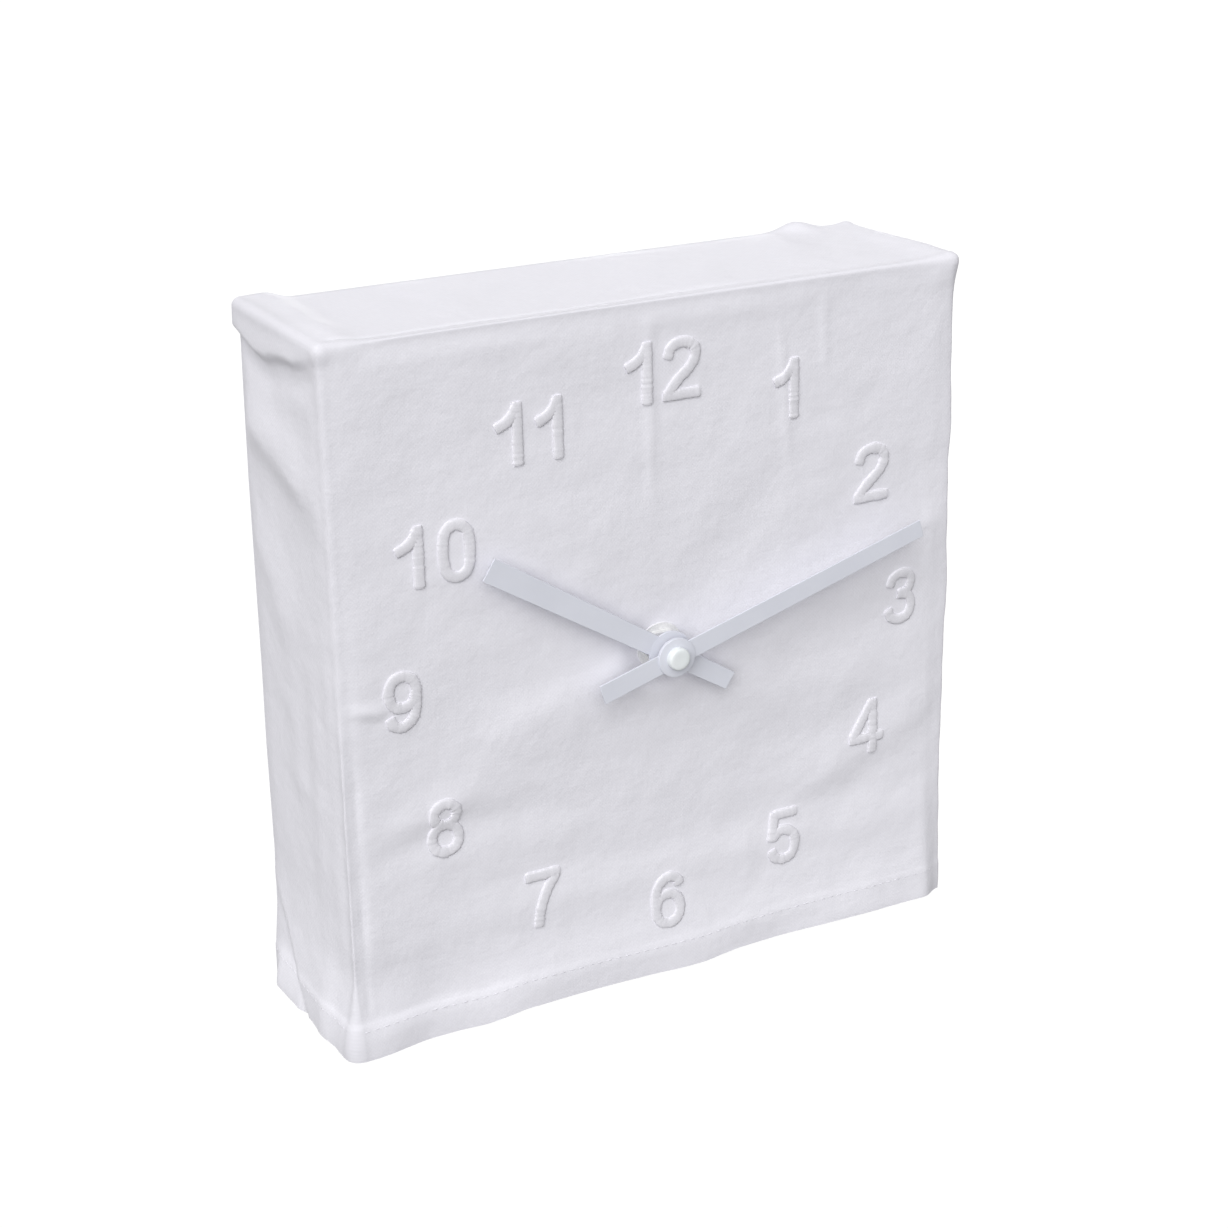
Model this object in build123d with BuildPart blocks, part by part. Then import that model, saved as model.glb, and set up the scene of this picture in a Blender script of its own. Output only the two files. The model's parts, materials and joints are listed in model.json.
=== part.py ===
from build123d import *
import math
import os

os.makedirs("parts", exist_ok=True)

# Table clock: a boarded case on rubber feet under a sewn cotton cover, with a battery movement hung from
# the dial board by its threaded neck. Millimetres, +Z up, the dial faces -Y. The origin lies on the table,
# under the middle of the whole clock, hands included.

# Case boards and feet
case_width = 190.0
case_height = 194.0
case_depth = 53.4
frame_board = 6.0
dial_board_thickness = 4.0
back_board_thickness = 3.0
board_edge_round = 1.5
window_width = 92.0
window_height = 92.0
window_corner = 6.0
foot_height = 5.0
foot_radius = 7.0
foot_inset_across = 15.0
foot_inset_deep = 9.0

# Staples of the back board
staple_crown = 10.0
staple_leg = 14.0
staple_wire = 1.0
staple_inset = 24.0
staple_gap = 0.02

# Cotton cover
cloth = 0.8
hem_height = 10.0
hem_fold = 0.9
hem_lift = 0.4
window_hem = 4.0
shaft_hole_gap = 0.2

# Folds of the hanging cloth, from the top: height of each fold's lower edge on the panel's middle line, as a
# share of the height where the folds start, and how far its ridge stands out; the rise is how much higher
# the fold lines lie at the panel's right seam than on its middle line
fold_below_washer = 3.0
front_folds = ((0.76, 1.2), (0.48, 1.9), (0.24, 1.5))
front_fold_rise = 9.6
left_fold_start_share = 0.75
left_folds = ((0.69, 1.6), (0.40, 1.0), (0.17, 1.5))
left_fold_rise = -12.0
fold_stations = ((-1.0, 0.1), (-0.6, 0.8), (0.0, 1.0), (0.6, 0.8), (1.0, 0.1))

# Hands and what stands in front of the cloth
washer_radius = 7.0
washer_thickness = 0.5
nut_across_flats = 10.0
nut_thickness = 1.8
neck_radius = 4.0
neck_past_nut = 0.3
thread_gap = 0.05
collet_clear = 0.8
collet_length = 2.0
collet_radius = 3.8
hand_sheet = 0.6
hour_pipe_past_hand = 0.2
hour_tip = 63.6
hour_tail = 22.8
hour_tip_width = 6.8
hour_tail_width = 5.4
hour_hub_radius = 6.4
hour_angle = 302.5
hands_apart = 2.7
minute_tip = 83.6
minute_tail = 23.8
minute_tip_width = 5.2
minute_tail_width = 5.8
minute_hub_radius = 5.6
minute_hub_height = 0.5
minute_angle = 73.9
cap_radius = 3.2
cap_height = 2.0
cap_crown = 0.5
cap_thread_radius = 1.3
cap_thread_depth = 1.2

# Shafts and their running fits
pipe_radius = 2.5
arbor_radius = 1.5
arbor_rear_radius = 0.75
knob_shaft_radius = 1.2
pivot_radius = 0.5
bearing_flat_count = 12
running_gap = 0.05
seat_gap = 0.02
end_gap = 0.1

# Movement housing
movement_size = 56.0
movement_depth = 16.0
movement_wall = 1.2
movement_corner = 3.0
gasket_side = 18.0
gasket_thickness = 1.0
divider = 1.0
battery_wall_height = 11.0
rear_cover_thickness = 1.2
bearing_depth = 0.8
pillar_side = 3.2
pillar_inset = 3.4

# Battery and contacts
battery_radius = 7.15
battery_nub_radius = 2.75
battery_nub_length = 1.2
battery_gap = 0.2
contact_sheet = 0.4
contact_height = 11.0
contact_width = 10.0
contact_strip = 2.2
contact_touch = 0.05
leaf_reach = 2.2

# Wheel train: tooth counts, drivers first; the modules and the motion wheel's distance go with the
# movement's size
train_scale = movement_size / 56.0
cannon_teeth = 12
motion_wheel_teeth = 36
motion_pinion_teeth = 10
hour_wheel_teeth = 40
motion_distance = 10.0 * train_scale
motion_direction = 15.0
pinion_teeth = 8
centre_wheel_teeth = 64
third_wheel_teeth = 60
seconds_wheel_teeth = 40
intermediate_wheel_teeth = 48
centre_module = 0.25 * train_scale
third_module = 0.25 * train_scale
seconds_module = 0.35 * train_scale
intermediate_module = 0.30 * train_scale
third_direction = 150.0
seconds_direction = 85.0
intermediate_direction = 20.0
rotor_direction = 10.0
addendum = 0.8
dedendum = 1.15
flank_angle = 18.0
backlash = 0.16

# Levels of the wheels, behind one another
wheel_thickness = 0.8
level_gap = 0.6
front_clear = 0.2
plate_gap = 0.4
plate_thickness = 1.0
hub_radius = 2.0

# Motor and circuit
magnet_radius = 3.0
magnet_thickness = 1.8
stator_gap = 0.5
stator_sheet = 1.0
stator_side_clear = 3.8
stator_top_clear = 0.2
stator_leg = 10.0
stator_arm = 3.0
coil_radius = 3.1
coil_flange = 0.6
coil_core_width = 4.0
coil_core_sheet = 0.8
post_side = 2.4
board_width = 10.3
board_thickness = 1.0
crystal_radius = 1.0
crystal_length = 6.0

# Set knob
knob_radius = 7.0
knob_height = 5.0
knob_clear = 0.6
knob_flute_count = 20
flute_side = 1.0
knob_seat = 4.0

# Places that follow from the sizes above
cap_face_out = (washer_thickness + nut_thickness + neck_past_nut + collet_clear + collet_length + hand_sheet
                + hour_pipe_past_hand + hands_apart + hand_sheet + minute_hub_height + cap_height)
cover_width = case_width + 2 * cloth
cover_depth = case_depth + 2 * cloth
cover_top_z = foot_height + case_height + cloth
cloth_y = cap_face_out - (cap_face_out + cover_depth + hem_fold) / 2
board_front_y = cloth_y + cloth
frame_front_y = board_front_y + dial_board_thickness
back_y = board_front_y + case_depth
frame_depth = case_depth - dial_board_thickness - back_board_thickness
frame_middle_y = frame_front_y + frame_depth / 2
case_middle_z = foot_height + case_height / 2
shaft_z = case_middle_z


def dial(out, across=0.0, up=0.0):
    """Plane square to the shaft, `out` in front of the cloth; its X is to the right and its Y is up."""
    return Plane(origin=(across, cloth_y - out, shaft_z + up), x_dir=(1, 0, 0), z_dir=(0, -1, 0))


def save(builder, name):
    builder.part.label = name
    export_step(builder.part, f"parts/{name}.step")


def disc(out, length, radius, bore_radius=0.0, at=(0.0, 0.0)):
    """Round piece or ring in the active part, running back from `out`."""
    with BuildSketch(dial(out, *at)) as outline:
        Circle(radius)
        if bore_radius:
            Circle(bore_radius, mode=Mode.SUBTRACT)
    extrude(outline.sketch, amount=-length)


def post(out, length, side, at):
    """Square post in the active part, running back from `out`."""
    with BuildSketch(dial(out, *at)) as outline:
        Rectangle(side, side)
    extrude(outline.sketch, amount=-length)


def bore(out, length, radius, at=(0.0, 0.0)):
    """Round hole in the active part, running back from `out`."""
    with BuildSketch(dial(out, *at)) as outline:
        Circle(radius)
    extrude(outline.sketch, amount=-length, mode=Mode.SUBTRACT)


def bearing(out, length, radius, at=(0.0, 0.0)):
    """Hole for a turning pivot in the active part, with flats that touch the running circle."""
    with BuildSketch(dial(out, *at)) as outline:
        RegularPolygon(radius + running_gap, bearing_flat_count, major_radius=False)
    extrude(outline.sketch, amount=-length, mode=Mode.SUBTRACT)


# Case boards
back_plane = Plane(origin=(0, back_y, case_middle_z), x_dir=(-1, 0, 0), z_dir=(0, 1, 0))
staple_pitch_across = case_width - 2 * staple_inset
staple_pitch_up = case_height - frame_board
hang = (Align.CENTER, Align.CENTER, Align.MAX)


def staples(gap=0.0, mode=Mode.ADD):
    """Four staples in the active part, flush with the back, or their pockets when subtracted with a gap."""
    side = staple_wire + 2 * gap
    with BuildSketch(back_plane) as crowns:
        with GridLocations(staple_pitch_across, staple_pitch_up, 2, 2):
            Rectangle(staple_crown + 2 * gap, side)
    with BuildSketch(back_plane) as legs:
        with GridLocations(staple_pitch_across, staple_pitch_up, 2, 2):
            with GridLocations(staple_crown - staple_wire, 0, 2, 1):
                Rectangle(side, side)
    extrude(crowns.sketch, amount=-staple_wire - gap, mode=mode)
    extrude(legs.sketch, amount=-staple_leg - gap, mode=mode)


for low_z, name in ((foot_height + case_height - frame_board, "case_top"), (foot_height, "case_bottom")):
    with BuildPart() as case_board:
        with BuildSketch(Plane.XY.offset(low_z)):
            with Locations((0, frame_middle_y)):
                Rectangle(case_width, frame_depth)
        extrude(amount=frame_board)
        staples(staple_gap, Mode.SUBTRACT)
    save(case_board, name)

for side, name in ((-1, "case_left"), (1, "case_right")):
    with BuildPart() as case_side:
        with BuildSketch(Plane.XY.offset(foot_height + frame_board)):
            with Locations((side * (case_width - frame_board) / 2, frame_middle_y)):
                Rectangle(frame_board, frame_depth)
        extrude(amount=case_height - 2 * frame_board)
    save(case_side, name)

with BuildPart() as dial_board:
    with BuildSketch(dial(-cloth)):
        Rectangle(case_width, case_height)
    extrude(amount=-dial_board_thickness)
    fillet(dial_board.faces().sort_by(Axis.Y)[0].edges(), radius=board_edge_round)
    bore(-cloth, dial_board_thickness, neck_radius + thread_gap)
save(dial_board, "dial_board")

with BuildPart() as back_board:
    with BuildSketch(back_plane):
        Rectangle(case_width, case_height)
        RectangleRounded(window_width, window_height, window_corner, mode=Mode.SUBTRACT)
    extrude(amount=-back_board_thickness)
    staples(staple_gap, Mode.SUBTRACT)
save(back_board, "back_board")

with BuildPart() as back_staples:
    staples()
save(back_staples, "back_staples")

# Rubber feet under the case corners
foot_spread_x = case_width / 2 - foot_inset_across
foot_spread_y = frame_depth / 2 - foot_inset_deep
for side_x, side_y, name in ((-1, -1, "foot_front_left"), (1, -1, "foot_front_right"),
                             (-1, 1, "foot_back_left"), (1, 1, "foot_back_right")):
    foot_at = (side_x * foot_spread_x, frame_middle_y + side_y * foot_spread_y, foot_height)
    with BuildPart() as foot:
        with Locations(foot_at):
            Cylinder(foot_radius, foot_height, align=hang)
    save(foot, name)


# Cover panels
def panel_face(middle, outward):
    """Plane of a hanging panel's outer face: X along the panel, Y up, origin on the table line."""
    along = Vector(0, 0, 1).cross(Vector(outward))
    return Plane(origin=(middle[0], middle[1], 0), x_dir=along, z_dir=outward)


def fold_line(start, folds, rise, weight):
    """One upright section through a hanging panel: straight above, then ridges that swell outwards."""
    edges = [start + rise] + [low * start + rise for low, _ in folds]
    for offset in (0.0, -cloth):
        Line((offset, cover_top_z), (offset, edges[0]))
        for high, low, fold in zip(edges, edges[1:], folds):
            ridge = (offset + fold[1] * weight, (high + low) / 2)
            ThreePointArc((offset, high), ridge, (offset, low))
        Line((offset, edges[-1]), (offset, hem_lift))
    Line((0, cover_top_z), (-cloth, cover_top_z))
    Line((0, hem_lift), (-cloth, hem_lift))


def folded_panel(face, half_width, start, folds, rise):
    """Hanging panel in the active part, lofted through upright sections from one seam to the other."""
    sections = []
    for share, weight in fold_stations:
        foot_point = face.from_local_coords((share * half_width, 0, 0))
        with BuildSketch(Plane(origin=foot_point, x_dir=face.z_dir, z_dir=-face.x_dir)) as section:
            with BuildLine():
                fold_line(start, folds, share * rise, weight)
            make_face()
        sections.append(section.sketch)
    loft(sections, ruled=True)


def plain_panel(face, half_width):
    """Hanging panel in the active part that hangs straight."""
    with BuildSketch(face) as outline:
        with Locations((0, hem_lift)):
            Rectangle(2 * half_width, cover_top_z - hem_lift, align=(Align.CENTER, Align.MIN))
    extrude(outline.sketch, amount=-cloth)


def hem(face, half_width):
    """Folded band along the lower edge of the active panel, on its outside."""
    with BuildSketch(face.offset(-cloth / 2)) as band:
        with Locations((0, hem_lift)):
            Rectangle(2 * half_width, hem_height, align=(Align.CENTER, Align.MIN))
    extrude(band.sketch, amount=cloth / 2 + hem_fold)


front_face = panel_face((0, cloth_y), (0, -1, 0))
back_face = panel_face((0, cloth_y + cover_depth), (0, 1, 0))
left_face = panel_face((-cover_width / 2, cloth_y + cover_depth / 2), (-1, 0, 0))
right_face = panel_face((cover_width / 2, cloth_y + cover_depth / 2), (1, 0, 0))
wide_half = cover_width / 2
narrow_half = cover_depth / 2 - cloth
front_fold_start = shaft_z - washer_radius - fold_below_washer
left_fold_start = left_fold_start_share * cover_top_z

with BuildPart() as cover_front:
    folded_panel(front_face, wide_half, front_fold_start, front_folds, front_fold_rise)
    hem(front_face, wide_half + hem_fold)
    bore(cloth, 3 * cloth, neck_radius + shaft_hole_gap)
save(cover_front, "cover_front")

with BuildPart() as cover_left:
    folded_panel(left_face, narrow_half, left_fold_start, left_folds, left_fold_rise)
    hem(left_face, narrow_half)
save(cover_left, "cover_left")

with BuildPart() as cover_right:
    plain_panel(right_face, narrow_half)
    hem(right_face, narrow_half)
save(cover_right, "cover_right")

with BuildPart() as cover_back:
    plain_panel(back_face, wide_half)
    hem(back_face, wide_half + hem_fold)
    with BuildSketch(back_face):
        with Locations((0, shaft_z)):
            RectangleRounded(window_width - 2 * window_hem, window_height - 2 * window_hem, window_corner)
    extrude(amount=-cloth, mode=Mode.SUBTRACT)
save(cover_back, "cover_back")

with BuildPart() as cover_top:
    with BuildSketch(Plane.XY.offset(cover_top_z)):
        with Locations((0, cloth_y + cover_depth / 2)):
            Rectangle(2 * wide_half - 2 * cloth, 2 * narrow_half)
    extrude(amount=-cloth)
save(cover_top, "cover_top")

# Distances in front of the cloth, from the neck outwards
nut_out = washer_thickness + nut_thickness
neck_out = nut_out + neck_past_nut
hour_collet_out = neck_out + collet_clear
hour_sheet_out = hour_collet_out + collet_length
hour_face_out = hour_sheet_out + hand_sheet
pipe_out = hour_face_out + hour_pipe_past_hand
minute_sheet_out = pipe_out + hands_apart
minute_face_out = minute_sheet_out + hand_sheet
cap_out = minute_face_out + minute_hub_height

# Distances behind the cloth, written as negative distances in front of it
housing_out = -(cloth + dial_board_thickness + gasket_thickness)
bay_out = housing_out - movement_wall
hour_level = bay_out - front_clear
motion_level = hour_level - wheel_thickness - level_gap
plate_out = motion_level - wheel_thickness - plate_gap
centre_level = plate_out - plate_thickness - plate_gap
third_level = centre_level - wheel_thickness - level_gap
seconds_level = third_level - wheel_thickness - level_gap
intermediate_level = seconds_level - wheel_thickness - level_gap
magnet_out = intermediate_level - wheel_thickness - level_gap
stator_out = magnet_out - (magnet_thickness - stator_sheet) / 2
rear_rim_out = housing_out - movement_depth + rear_cover_thickness
rear_face_out = housing_out - movement_depth
knob_out = rear_face_out - knob_clear
battery_out = bay_out - battery_gap - battery_radius
contact_out = battery_out + contact_height / 2
strip_out = contact_out - contact_height + contact_strip

# Places square to the shaft, seen from the front
bay_half = movement_size / 2 - movement_wall
battery_bay_width = 2 * (battery_radius + battery_gap)
battery_length = 2 * (bay_half - contact_sheet - contact_touch) - leaf_reach
battery_up = -bay_half + battery_bay_width / 2
divider_low = -bay_half + battery_bay_width
wheel_bay_low = divider_low + divider


def beside(middle, distance, direction):
    """Point at a distance from a wheel's middle, direction in degrees from the right."""
    turn = math.radians(direction)
    return (middle[0] + distance * math.cos(turn), middle[1] + distance * math.sin(turn))


def mesh_distance(module, teeth):
    return module * (teeth + pinion_teeth) / 2


cannon_module = 2 * motion_distance / (cannon_teeth + motion_wheel_teeth)
hour_module = 2 * motion_distance / (motion_pinion_teeth + hour_wheel_teeth)
shaft_at = (0.0, 0.0)
motion_at = beside(shaft_at, motion_distance, motion_direction)
third_at = beside(shaft_at, mesh_distance(centre_module, centre_wheel_teeth), third_direction)
seconds_at = beside(third_at, mesh_distance(third_module, third_wheel_teeth), seconds_direction)
intermediate_at = beside(seconds_at, mesh_distance(seconds_module, seconds_wheel_teeth),
                         intermediate_direction)
rotor_at = beside(intermediate_at, mesh_distance(intermediate_module, intermediate_wheel_teeth),
                  rotor_direction)


def gear(out, length, teeth, module, gap_angle, at=(0.0, 0.0)):
    """Toothed disc in the active part, running back from `out`, with a gap centred on gap_angle."""
    pitch = module * teeth / 2
    root = pitch - dedendum * module
    tip = pitch + addendum * module
    half_gap = math.pi * module / 4 + backlash / 2
    slope = math.tan(math.radians(flank_angle))
    half_root = half_gap - (pitch - root) * slope
    half_mouth = half_gap + (tip - pitch) * slope
    mouth = math.sqrt(tip ** 2 - half_mouth ** 2)
    gap = (Vector(mouth, -half_mouth), Vector(root, -half_root), Vector(root, half_root),
           Vector(mouth, half_mouth))
    turns = [gap_angle + 360 * tooth / teeth for tooth in range(teeth)]
    with BuildSketch(dial(out, *at)) as toothed:
        Polygon(*(point.rotate(Axis.Z, turn) for turn in turns for point in gap), align=None)
    extrude(toothed.sketch, amount=-length)


def tooth_angle(direction, teeth):
    """Gap angle that puts the middle of a tooth on the line to the mating wheel."""
    return direction + 180.0 / teeth


# Movement housing, open to the back, with the threaded neck in front
with BuildPart() as movement_housing:
    with BuildSketch(dial(housing_out)):
        RectangleRounded(movement_size, movement_size, movement_corner)
    extrude(amount=-(movement_depth - rear_cover_thickness))
    with BuildSketch(dial(bay_out)):
        with Locations((0, (wheel_bay_low + bay_half) / 2)):
            Rectangle(2 * bay_half, bay_half - wheel_bay_low)
        with Locations((0, battery_up)):
            Rectangle(2 * bay_half, battery_bay_width)
    extrude(amount=-movement_depth, mode=Mode.SUBTRACT)
    with BuildSketch(dial(housing_out - battery_wall_height)):
        with Locations((0, divider_low)):
            Rectangle(movement_size, movement_size, align=(Align.CENTER, Align.MAX))
    extrude(amount=-movement_depth, mode=Mode.SUBTRACT)
    with BuildSketch(dial(strip_out + contact_touch)):
        for side in (-1, 1):
            with Locations((side * (bay_half - contact_sheet / 2), divider_low + divider / 2)):
                Rectangle(contact_sheet + 2 * contact_touch, divider)
    extrude(amount=-movement_depth, mode=Mode.SUBTRACT)
    for side in (-1, 1):
        for up in (wheel_bay_low + pillar_inset, bay_half - pillar_inset):
            post(bay_out, bay_out - plate_out, pillar_side, (side * (bay_half - pillar_inset), up))
    disc(neck_out, neck_out - housing_out, neck_radius)
    bore(neck_out, neck_out - bay_out, pipe_radius + running_gap)
    bearing(bay_out + bearing_depth, bearing_depth, pivot_radius, at=motion_at)
save(movement_housing, "movement_housing")

with BuildPart() as gasket:
    post(housing_out + gasket_thickness, gasket_thickness, gasket_side, shaft_at)
    bore(housing_out + gasket_thickness, gasket_thickness, neck_radius + thread_gap)
save(gasket, "gasket")

with BuildPart() as neck_washer:
    disc(washer_thickness, washer_thickness, washer_radius, neck_radius + thread_gap)
save(neck_washer, "neck_washer")

with BuildPart() as neck_nut:
    with BuildSketch(dial(nut_out)):
        RegularPolygon(nut_across_flats / 2, 6, major_radius=False)
        Circle(neck_radius + thread_gap, mode=Mode.SUBTRACT)
    extrude(amount=-nut_thickness)
save(neck_nut, "neck_nut")

# Train plate on the housing's pillars, with posts for the motor and the circuit board behind it
stator_left = rotor_at[0] - stator_leg / 2
stator_width = bay_half - stator_left - stator_side_clear
stator_height = 2 * (bay_half - stator_top_clear - rotor_at[1])
stator_low = rotor_at[1] - stator_height / 2
stator_posts = [(stator_left + stator_leg - post_side / 2,
                 rotor_at[1] + side * (stator_height - stator_arm) / 2) for side in (-1, 1)]
circuit_left = -bay_half + contact_sheet + 2 * contact_touch
circuit_middle = (circuit_left + board_width / 2, (wheel_bay_low + bay_half) / 2)
circuit_height = bay_half - wheel_bay_low - 2 * contact_sheet - 2 * end_gap
circuit_out = magnet_out
circuit_posts = [(circuit_left + post_side, circuit_middle[1] + side * (circuit_height / 2 - post_side))
                 for side in (-1, 1)]
train_places = (third_at, seconds_at, intermediate_at, rotor_at)
plate_back_out = plate_out - plate_thickness

with BuildPart() as train_plate:
    with BuildSketch(dial(plate_out)):
        with Locations((0, (wheel_bay_low + bay_half) / 2)):
            Rectangle(2 * bay_half - 2 * end_gap, bay_half - wheel_bay_low - 2 * end_gap)
    extrude(amount=-plate_thickness)
    for at in stator_posts:
        post(plate_back_out, plate_back_out - stator_out, post_side, at)
    for at in circuit_posts:
        post(plate_back_out, plate_back_out - circuit_out, post_side, at)
    for at in train_places:
        bearing(plate_out, plate_thickness, pivot_radius, at=at)
    bearing(plate_out, plate_thickness, arbor_rear_radius)
    bearing(plate_out, plate_thickness, knob_shaft_radius, at=motion_at)
save(train_plate, "train_plate")

# Rear cover over the wheel bay, with blind bearings inside and the hole for the knob's shaft
with BuildPart() as movement_cover:
    with BuildSketch(dial(rear_rim_out)):
        RectangleRounded(movement_size, movement_size, movement_corner)
        with Locations((0, divider_low)):
            Rectangle(movement_size, movement_size, align=(Align.CENTER, Align.MAX), mode=Mode.SUBTRACT)
    extrude(amount=-rear_cover_thickness)
    for at in train_places:
        bearing(rear_rim_out, bearing_depth, pivot_radius, at=at)
    bearing(rear_rim_out, bearing_depth, arbor_rear_radius)
    bearing(rear_rim_out, rear_cover_thickness, knob_shaft_radius, at=motion_at)
save(movement_cover, "movement_cover")

# Battery lying across the lower bay, nub to the left, and its two contacts
battery_left = -bay_half + contact_sheet + contact_touch
battery_axis = Plane(origin=(battery_left, cloth_y - battery_out, shaft_z + battery_up), z_dir=(1, 0, 0))
with BuildPart() as battery:
    with BuildSketch(battery_axis):
        Circle(battery_nub_radius)
    extrude(amount=battery_nub_length)
    with BuildSketch(battery_axis.offset(battery_nub_length)):
        Circle(battery_radius)
    extrude(amount=battery_length - battery_nub_length)
save(battery, "battery")

contact_low = battery_up - contact_width / 2
circuit_touch_up = circuit_middle[1] - circuit_height / 2


def contact_plate(side, top):
    """Upright contact sheet against an end wall of the battery bay, with its tail up to `top`."""
    wall_side = Align.MIN if side < 0 else Align.MAX
    for out, height, length in ((contact_out, contact_height, contact_width),
                                (strip_out, contact_strip, top - contact_low)):
        with BuildSketch(dial(out)) as sheet:
            with Locations((side * bay_half, contact_low)):
                Rectangle(contact_sheet, length, align=(wall_side, Align.MIN))
        extrude(sheet.sketch, amount=-height)


with BuildPart() as contact_positive:
    contact_plate(-1, circuit_touch_up + contact_width)
save(contact_positive, "contact_positive")

strip_top = wheel_bay_low + contact_sheet
with BuildPart() as contact_negative:
    contact_plate(1, strip_top)
    with BuildSketch(dial(strip_out)):
        with Locations((bay_half, wheel_bay_low)):
            Rectangle(2 * bay_half - board_width, contact_sheet, align=(Align.MAX, Align.MIN))
    extrude(amount=-contact_strip)
    with BuildSketch(dial(battery_out + contact_strip)):
        with BuildLine():
            leaf_foot = bay_half - contact_sheet
            leaf_half = contact_width / 2 - contact_sheet
            for depth in (0.0, contact_sheet):
                ThreePointArc((leaf_foot + depth, battery_up - leaf_half),
                              (bay_half - contact_sheet - leaf_reach + depth, battery_up),
                              (leaf_foot + depth, battery_up + leaf_half))
            for side in (-1, 1):
                Line((leaf_foot, battery_up + side * leaf_half),
                     (leaf_foot + contact_sheet, battery_up + side * leaf_half))
        make_face()
    extrude(amount=-2 * contact_strip)
save(contact_negative, "contact_negative")

# Circuit board with its crystal
with BuildPart() as circuit_board:
    with BuildSketch(dial(circuit_out, *circuit_middle)):
        Rectangle(board_width, circuit_height)
    extrude(amount=-board_thickness)
save(circuit_board, "circuit_board")

crystal_axis = Plane(origin=(circuit_middle[0], cloth_y - circuit_out + board_thickness + crystal_radius,
                             shaft_z + circuit_middle[1]), z_dir=(0, 0, 1))
with BuildPart() as quartz_crystal:
    with BuildSketch(crystal_axis):
        Circle(crystal_radius)
    extrude(amount=crystal_length)
save(quartz_crystal, "quartz_crystal")

# Stator sheet around the rotor, and the coil that bridges its two arms
with BuildPart() as stator:
    with BuildSketch(dial(stator_out)):
        with Locations((stator_left, stator_low)):
            Rectangle(stator_width, stator_height, align=(Align.MIN, Align.MIN))
        with Locations((stator_left + stator_leg, stator_low + stator_arm)):
            Rectangle(stator_width, stator_height - 2 * stator_arm, align=(Align.MIN, Align.MIN),
                      mode=Mode.SUBTRACT)
        with Locations(rotor_at):
            Circle(magnet_radius + stator_gap, mode=Mode.SUBTRACT)
    extrude(amount=-stator_sheet)
save(stator, "stator")

coil_across = stator_left + stator_width - coil_radius
coil_length = stator_height - 2 * stator_arm - 2 * end_gap
coil_axis = Plane(origin=(coil_across, cloth_y - stator_out - coil_core_sheet / 2, shaft_z + rotor_at[1]),
                  z_dir=(0, 0, 1))
with BuildPart() as drive_coil:
    with BuildSketch(dial(stator_out + coil_core_sheet, coil_across, rotor_at[1])):
        Rectangle(coil_core_width, stator_height)
    extrude(amount=-coil_core_sheet)
    with BuildSketch(coil_axis.offset(-coil_length / 2)):
        Circle(coil_radius - coil_flange)
    extrude(amount=coil_length)
    for end in (-coil_length / 2, coil_length / 2 - coil_flange):
        with BuildSketch(coil_axis.offset(end)):
            Rectangle(2 * coil_radius, 2 * coil_radius)
        extrude(amount=coil_flange)
save(drive_coil, "drive_coil")


# Going train: each wheel is moulded in one with its pinion and arbor
def train_arbor(at):
    """Arbor in the active part, from the train plate to its blind bearing in the rear cover."""
    front = plate_out - end_gap
    back = rear_rim_out - bearing_depth + end_gap
    disc(front, front - back, pivot_radius, at=at)


pinion_length = wheel_thickness + level_gap
with BuildPart() as rotor:
    train_arbor(rotor_at)
    disc(magnet_out, magnet_thickness, magnet_radius, at=rotor_at)
    gear(intermediate_level, pinion_length, pinion_teeth, intermediate_module,
         tooth_angle(rotor_direction + 180, pinion_teeth), at=rotor_at)
save(rotor, "rotor")

for name, at, pinion_level, pinion_module, wheel_module, teeth, to_wheel, to_pinion in (
        ("third_wheel", third_at, centre_level, centre_module, third_module, third_wheel_teeth,
         third_direction + 180, seconds_direction),
        ("seconds_wheel", seconds_at, third_level, third_module, seconds_module, seconds_wheel_teeth,
         seconds_direction + 180, intermediate_direction),
        ("intermediate_wheel", intermediate_at, seconds_level, seconds_module, intermediate_module,
         intermediate_wheel_teeth, intermediate_direction + 180, rotor_direction)):
    with BuildPart() as train_wheel:
        train_arbor(at)
        gear(pinion_level, pinion_length, pinion_teeth, pinion_module,
             tooth_angle(to_wheel, pinion_teeth), at)
        gear(pinion_level - pinion_length, wheel_thickness, teeth, wheel_module, to_pinion, at)
    save(train_wheel, name)

with BuildPart() as centre_wheel:
    gear(centre_level, wheel_thickness, centre_wheel_teeth, centre_module, third_direction)
    disc(centre_level, pinion_length, hub_radius)
    bore(centre_level, pinion_length, arbor_rear_radius + running_gap)
save(centre_wheel, "centre_wheel")

# Motion work
arbor_back_out = rear_rim_out - bearing_depth + end_gap
with BuildPart() as minute_arbor:
    disc(minute_sheet_out, minute_sheet_out - motion_level, arbor_radius)
    disc(cap_out + cap_thread_depth, cap_out + cap_thread_depth - minute_sheet_out, cap_thread_radius)
    gear(motion_level, wheel_thickness, cannon_teeth, cannon_module,
         tooth_angle(motion_direction, cannon_teeth))
    disc(motion_level, motion_level - arbor_back_out, arbor_rear_radius)
save(minute_arbor, "minute_arbor")

knob_shaft_out = knob_out - knob_seat
with BuildPart() as motion_wheel:
    disc(bay_out + bearing_depth - end_gap, bearing_depth - end_gap + front_clear, pivot_radius, at=motion_at)
    gear(hour_level, pinion_length, motion_pinion_teeth, hour_module,
         tooth_angle(motion_direction + 180, motion_pinion_teeth), motion_at)
    gear(motion_level, wheel_thickness, motion_wheel_teeth, cannon_module, motion_direction + 180, motion_at)
    disc(motion_level, motion_level - knob_shaft_out, knob_shaft_radius, at=motion_at)
save(motion_wheel, "motion_wheel")

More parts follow.
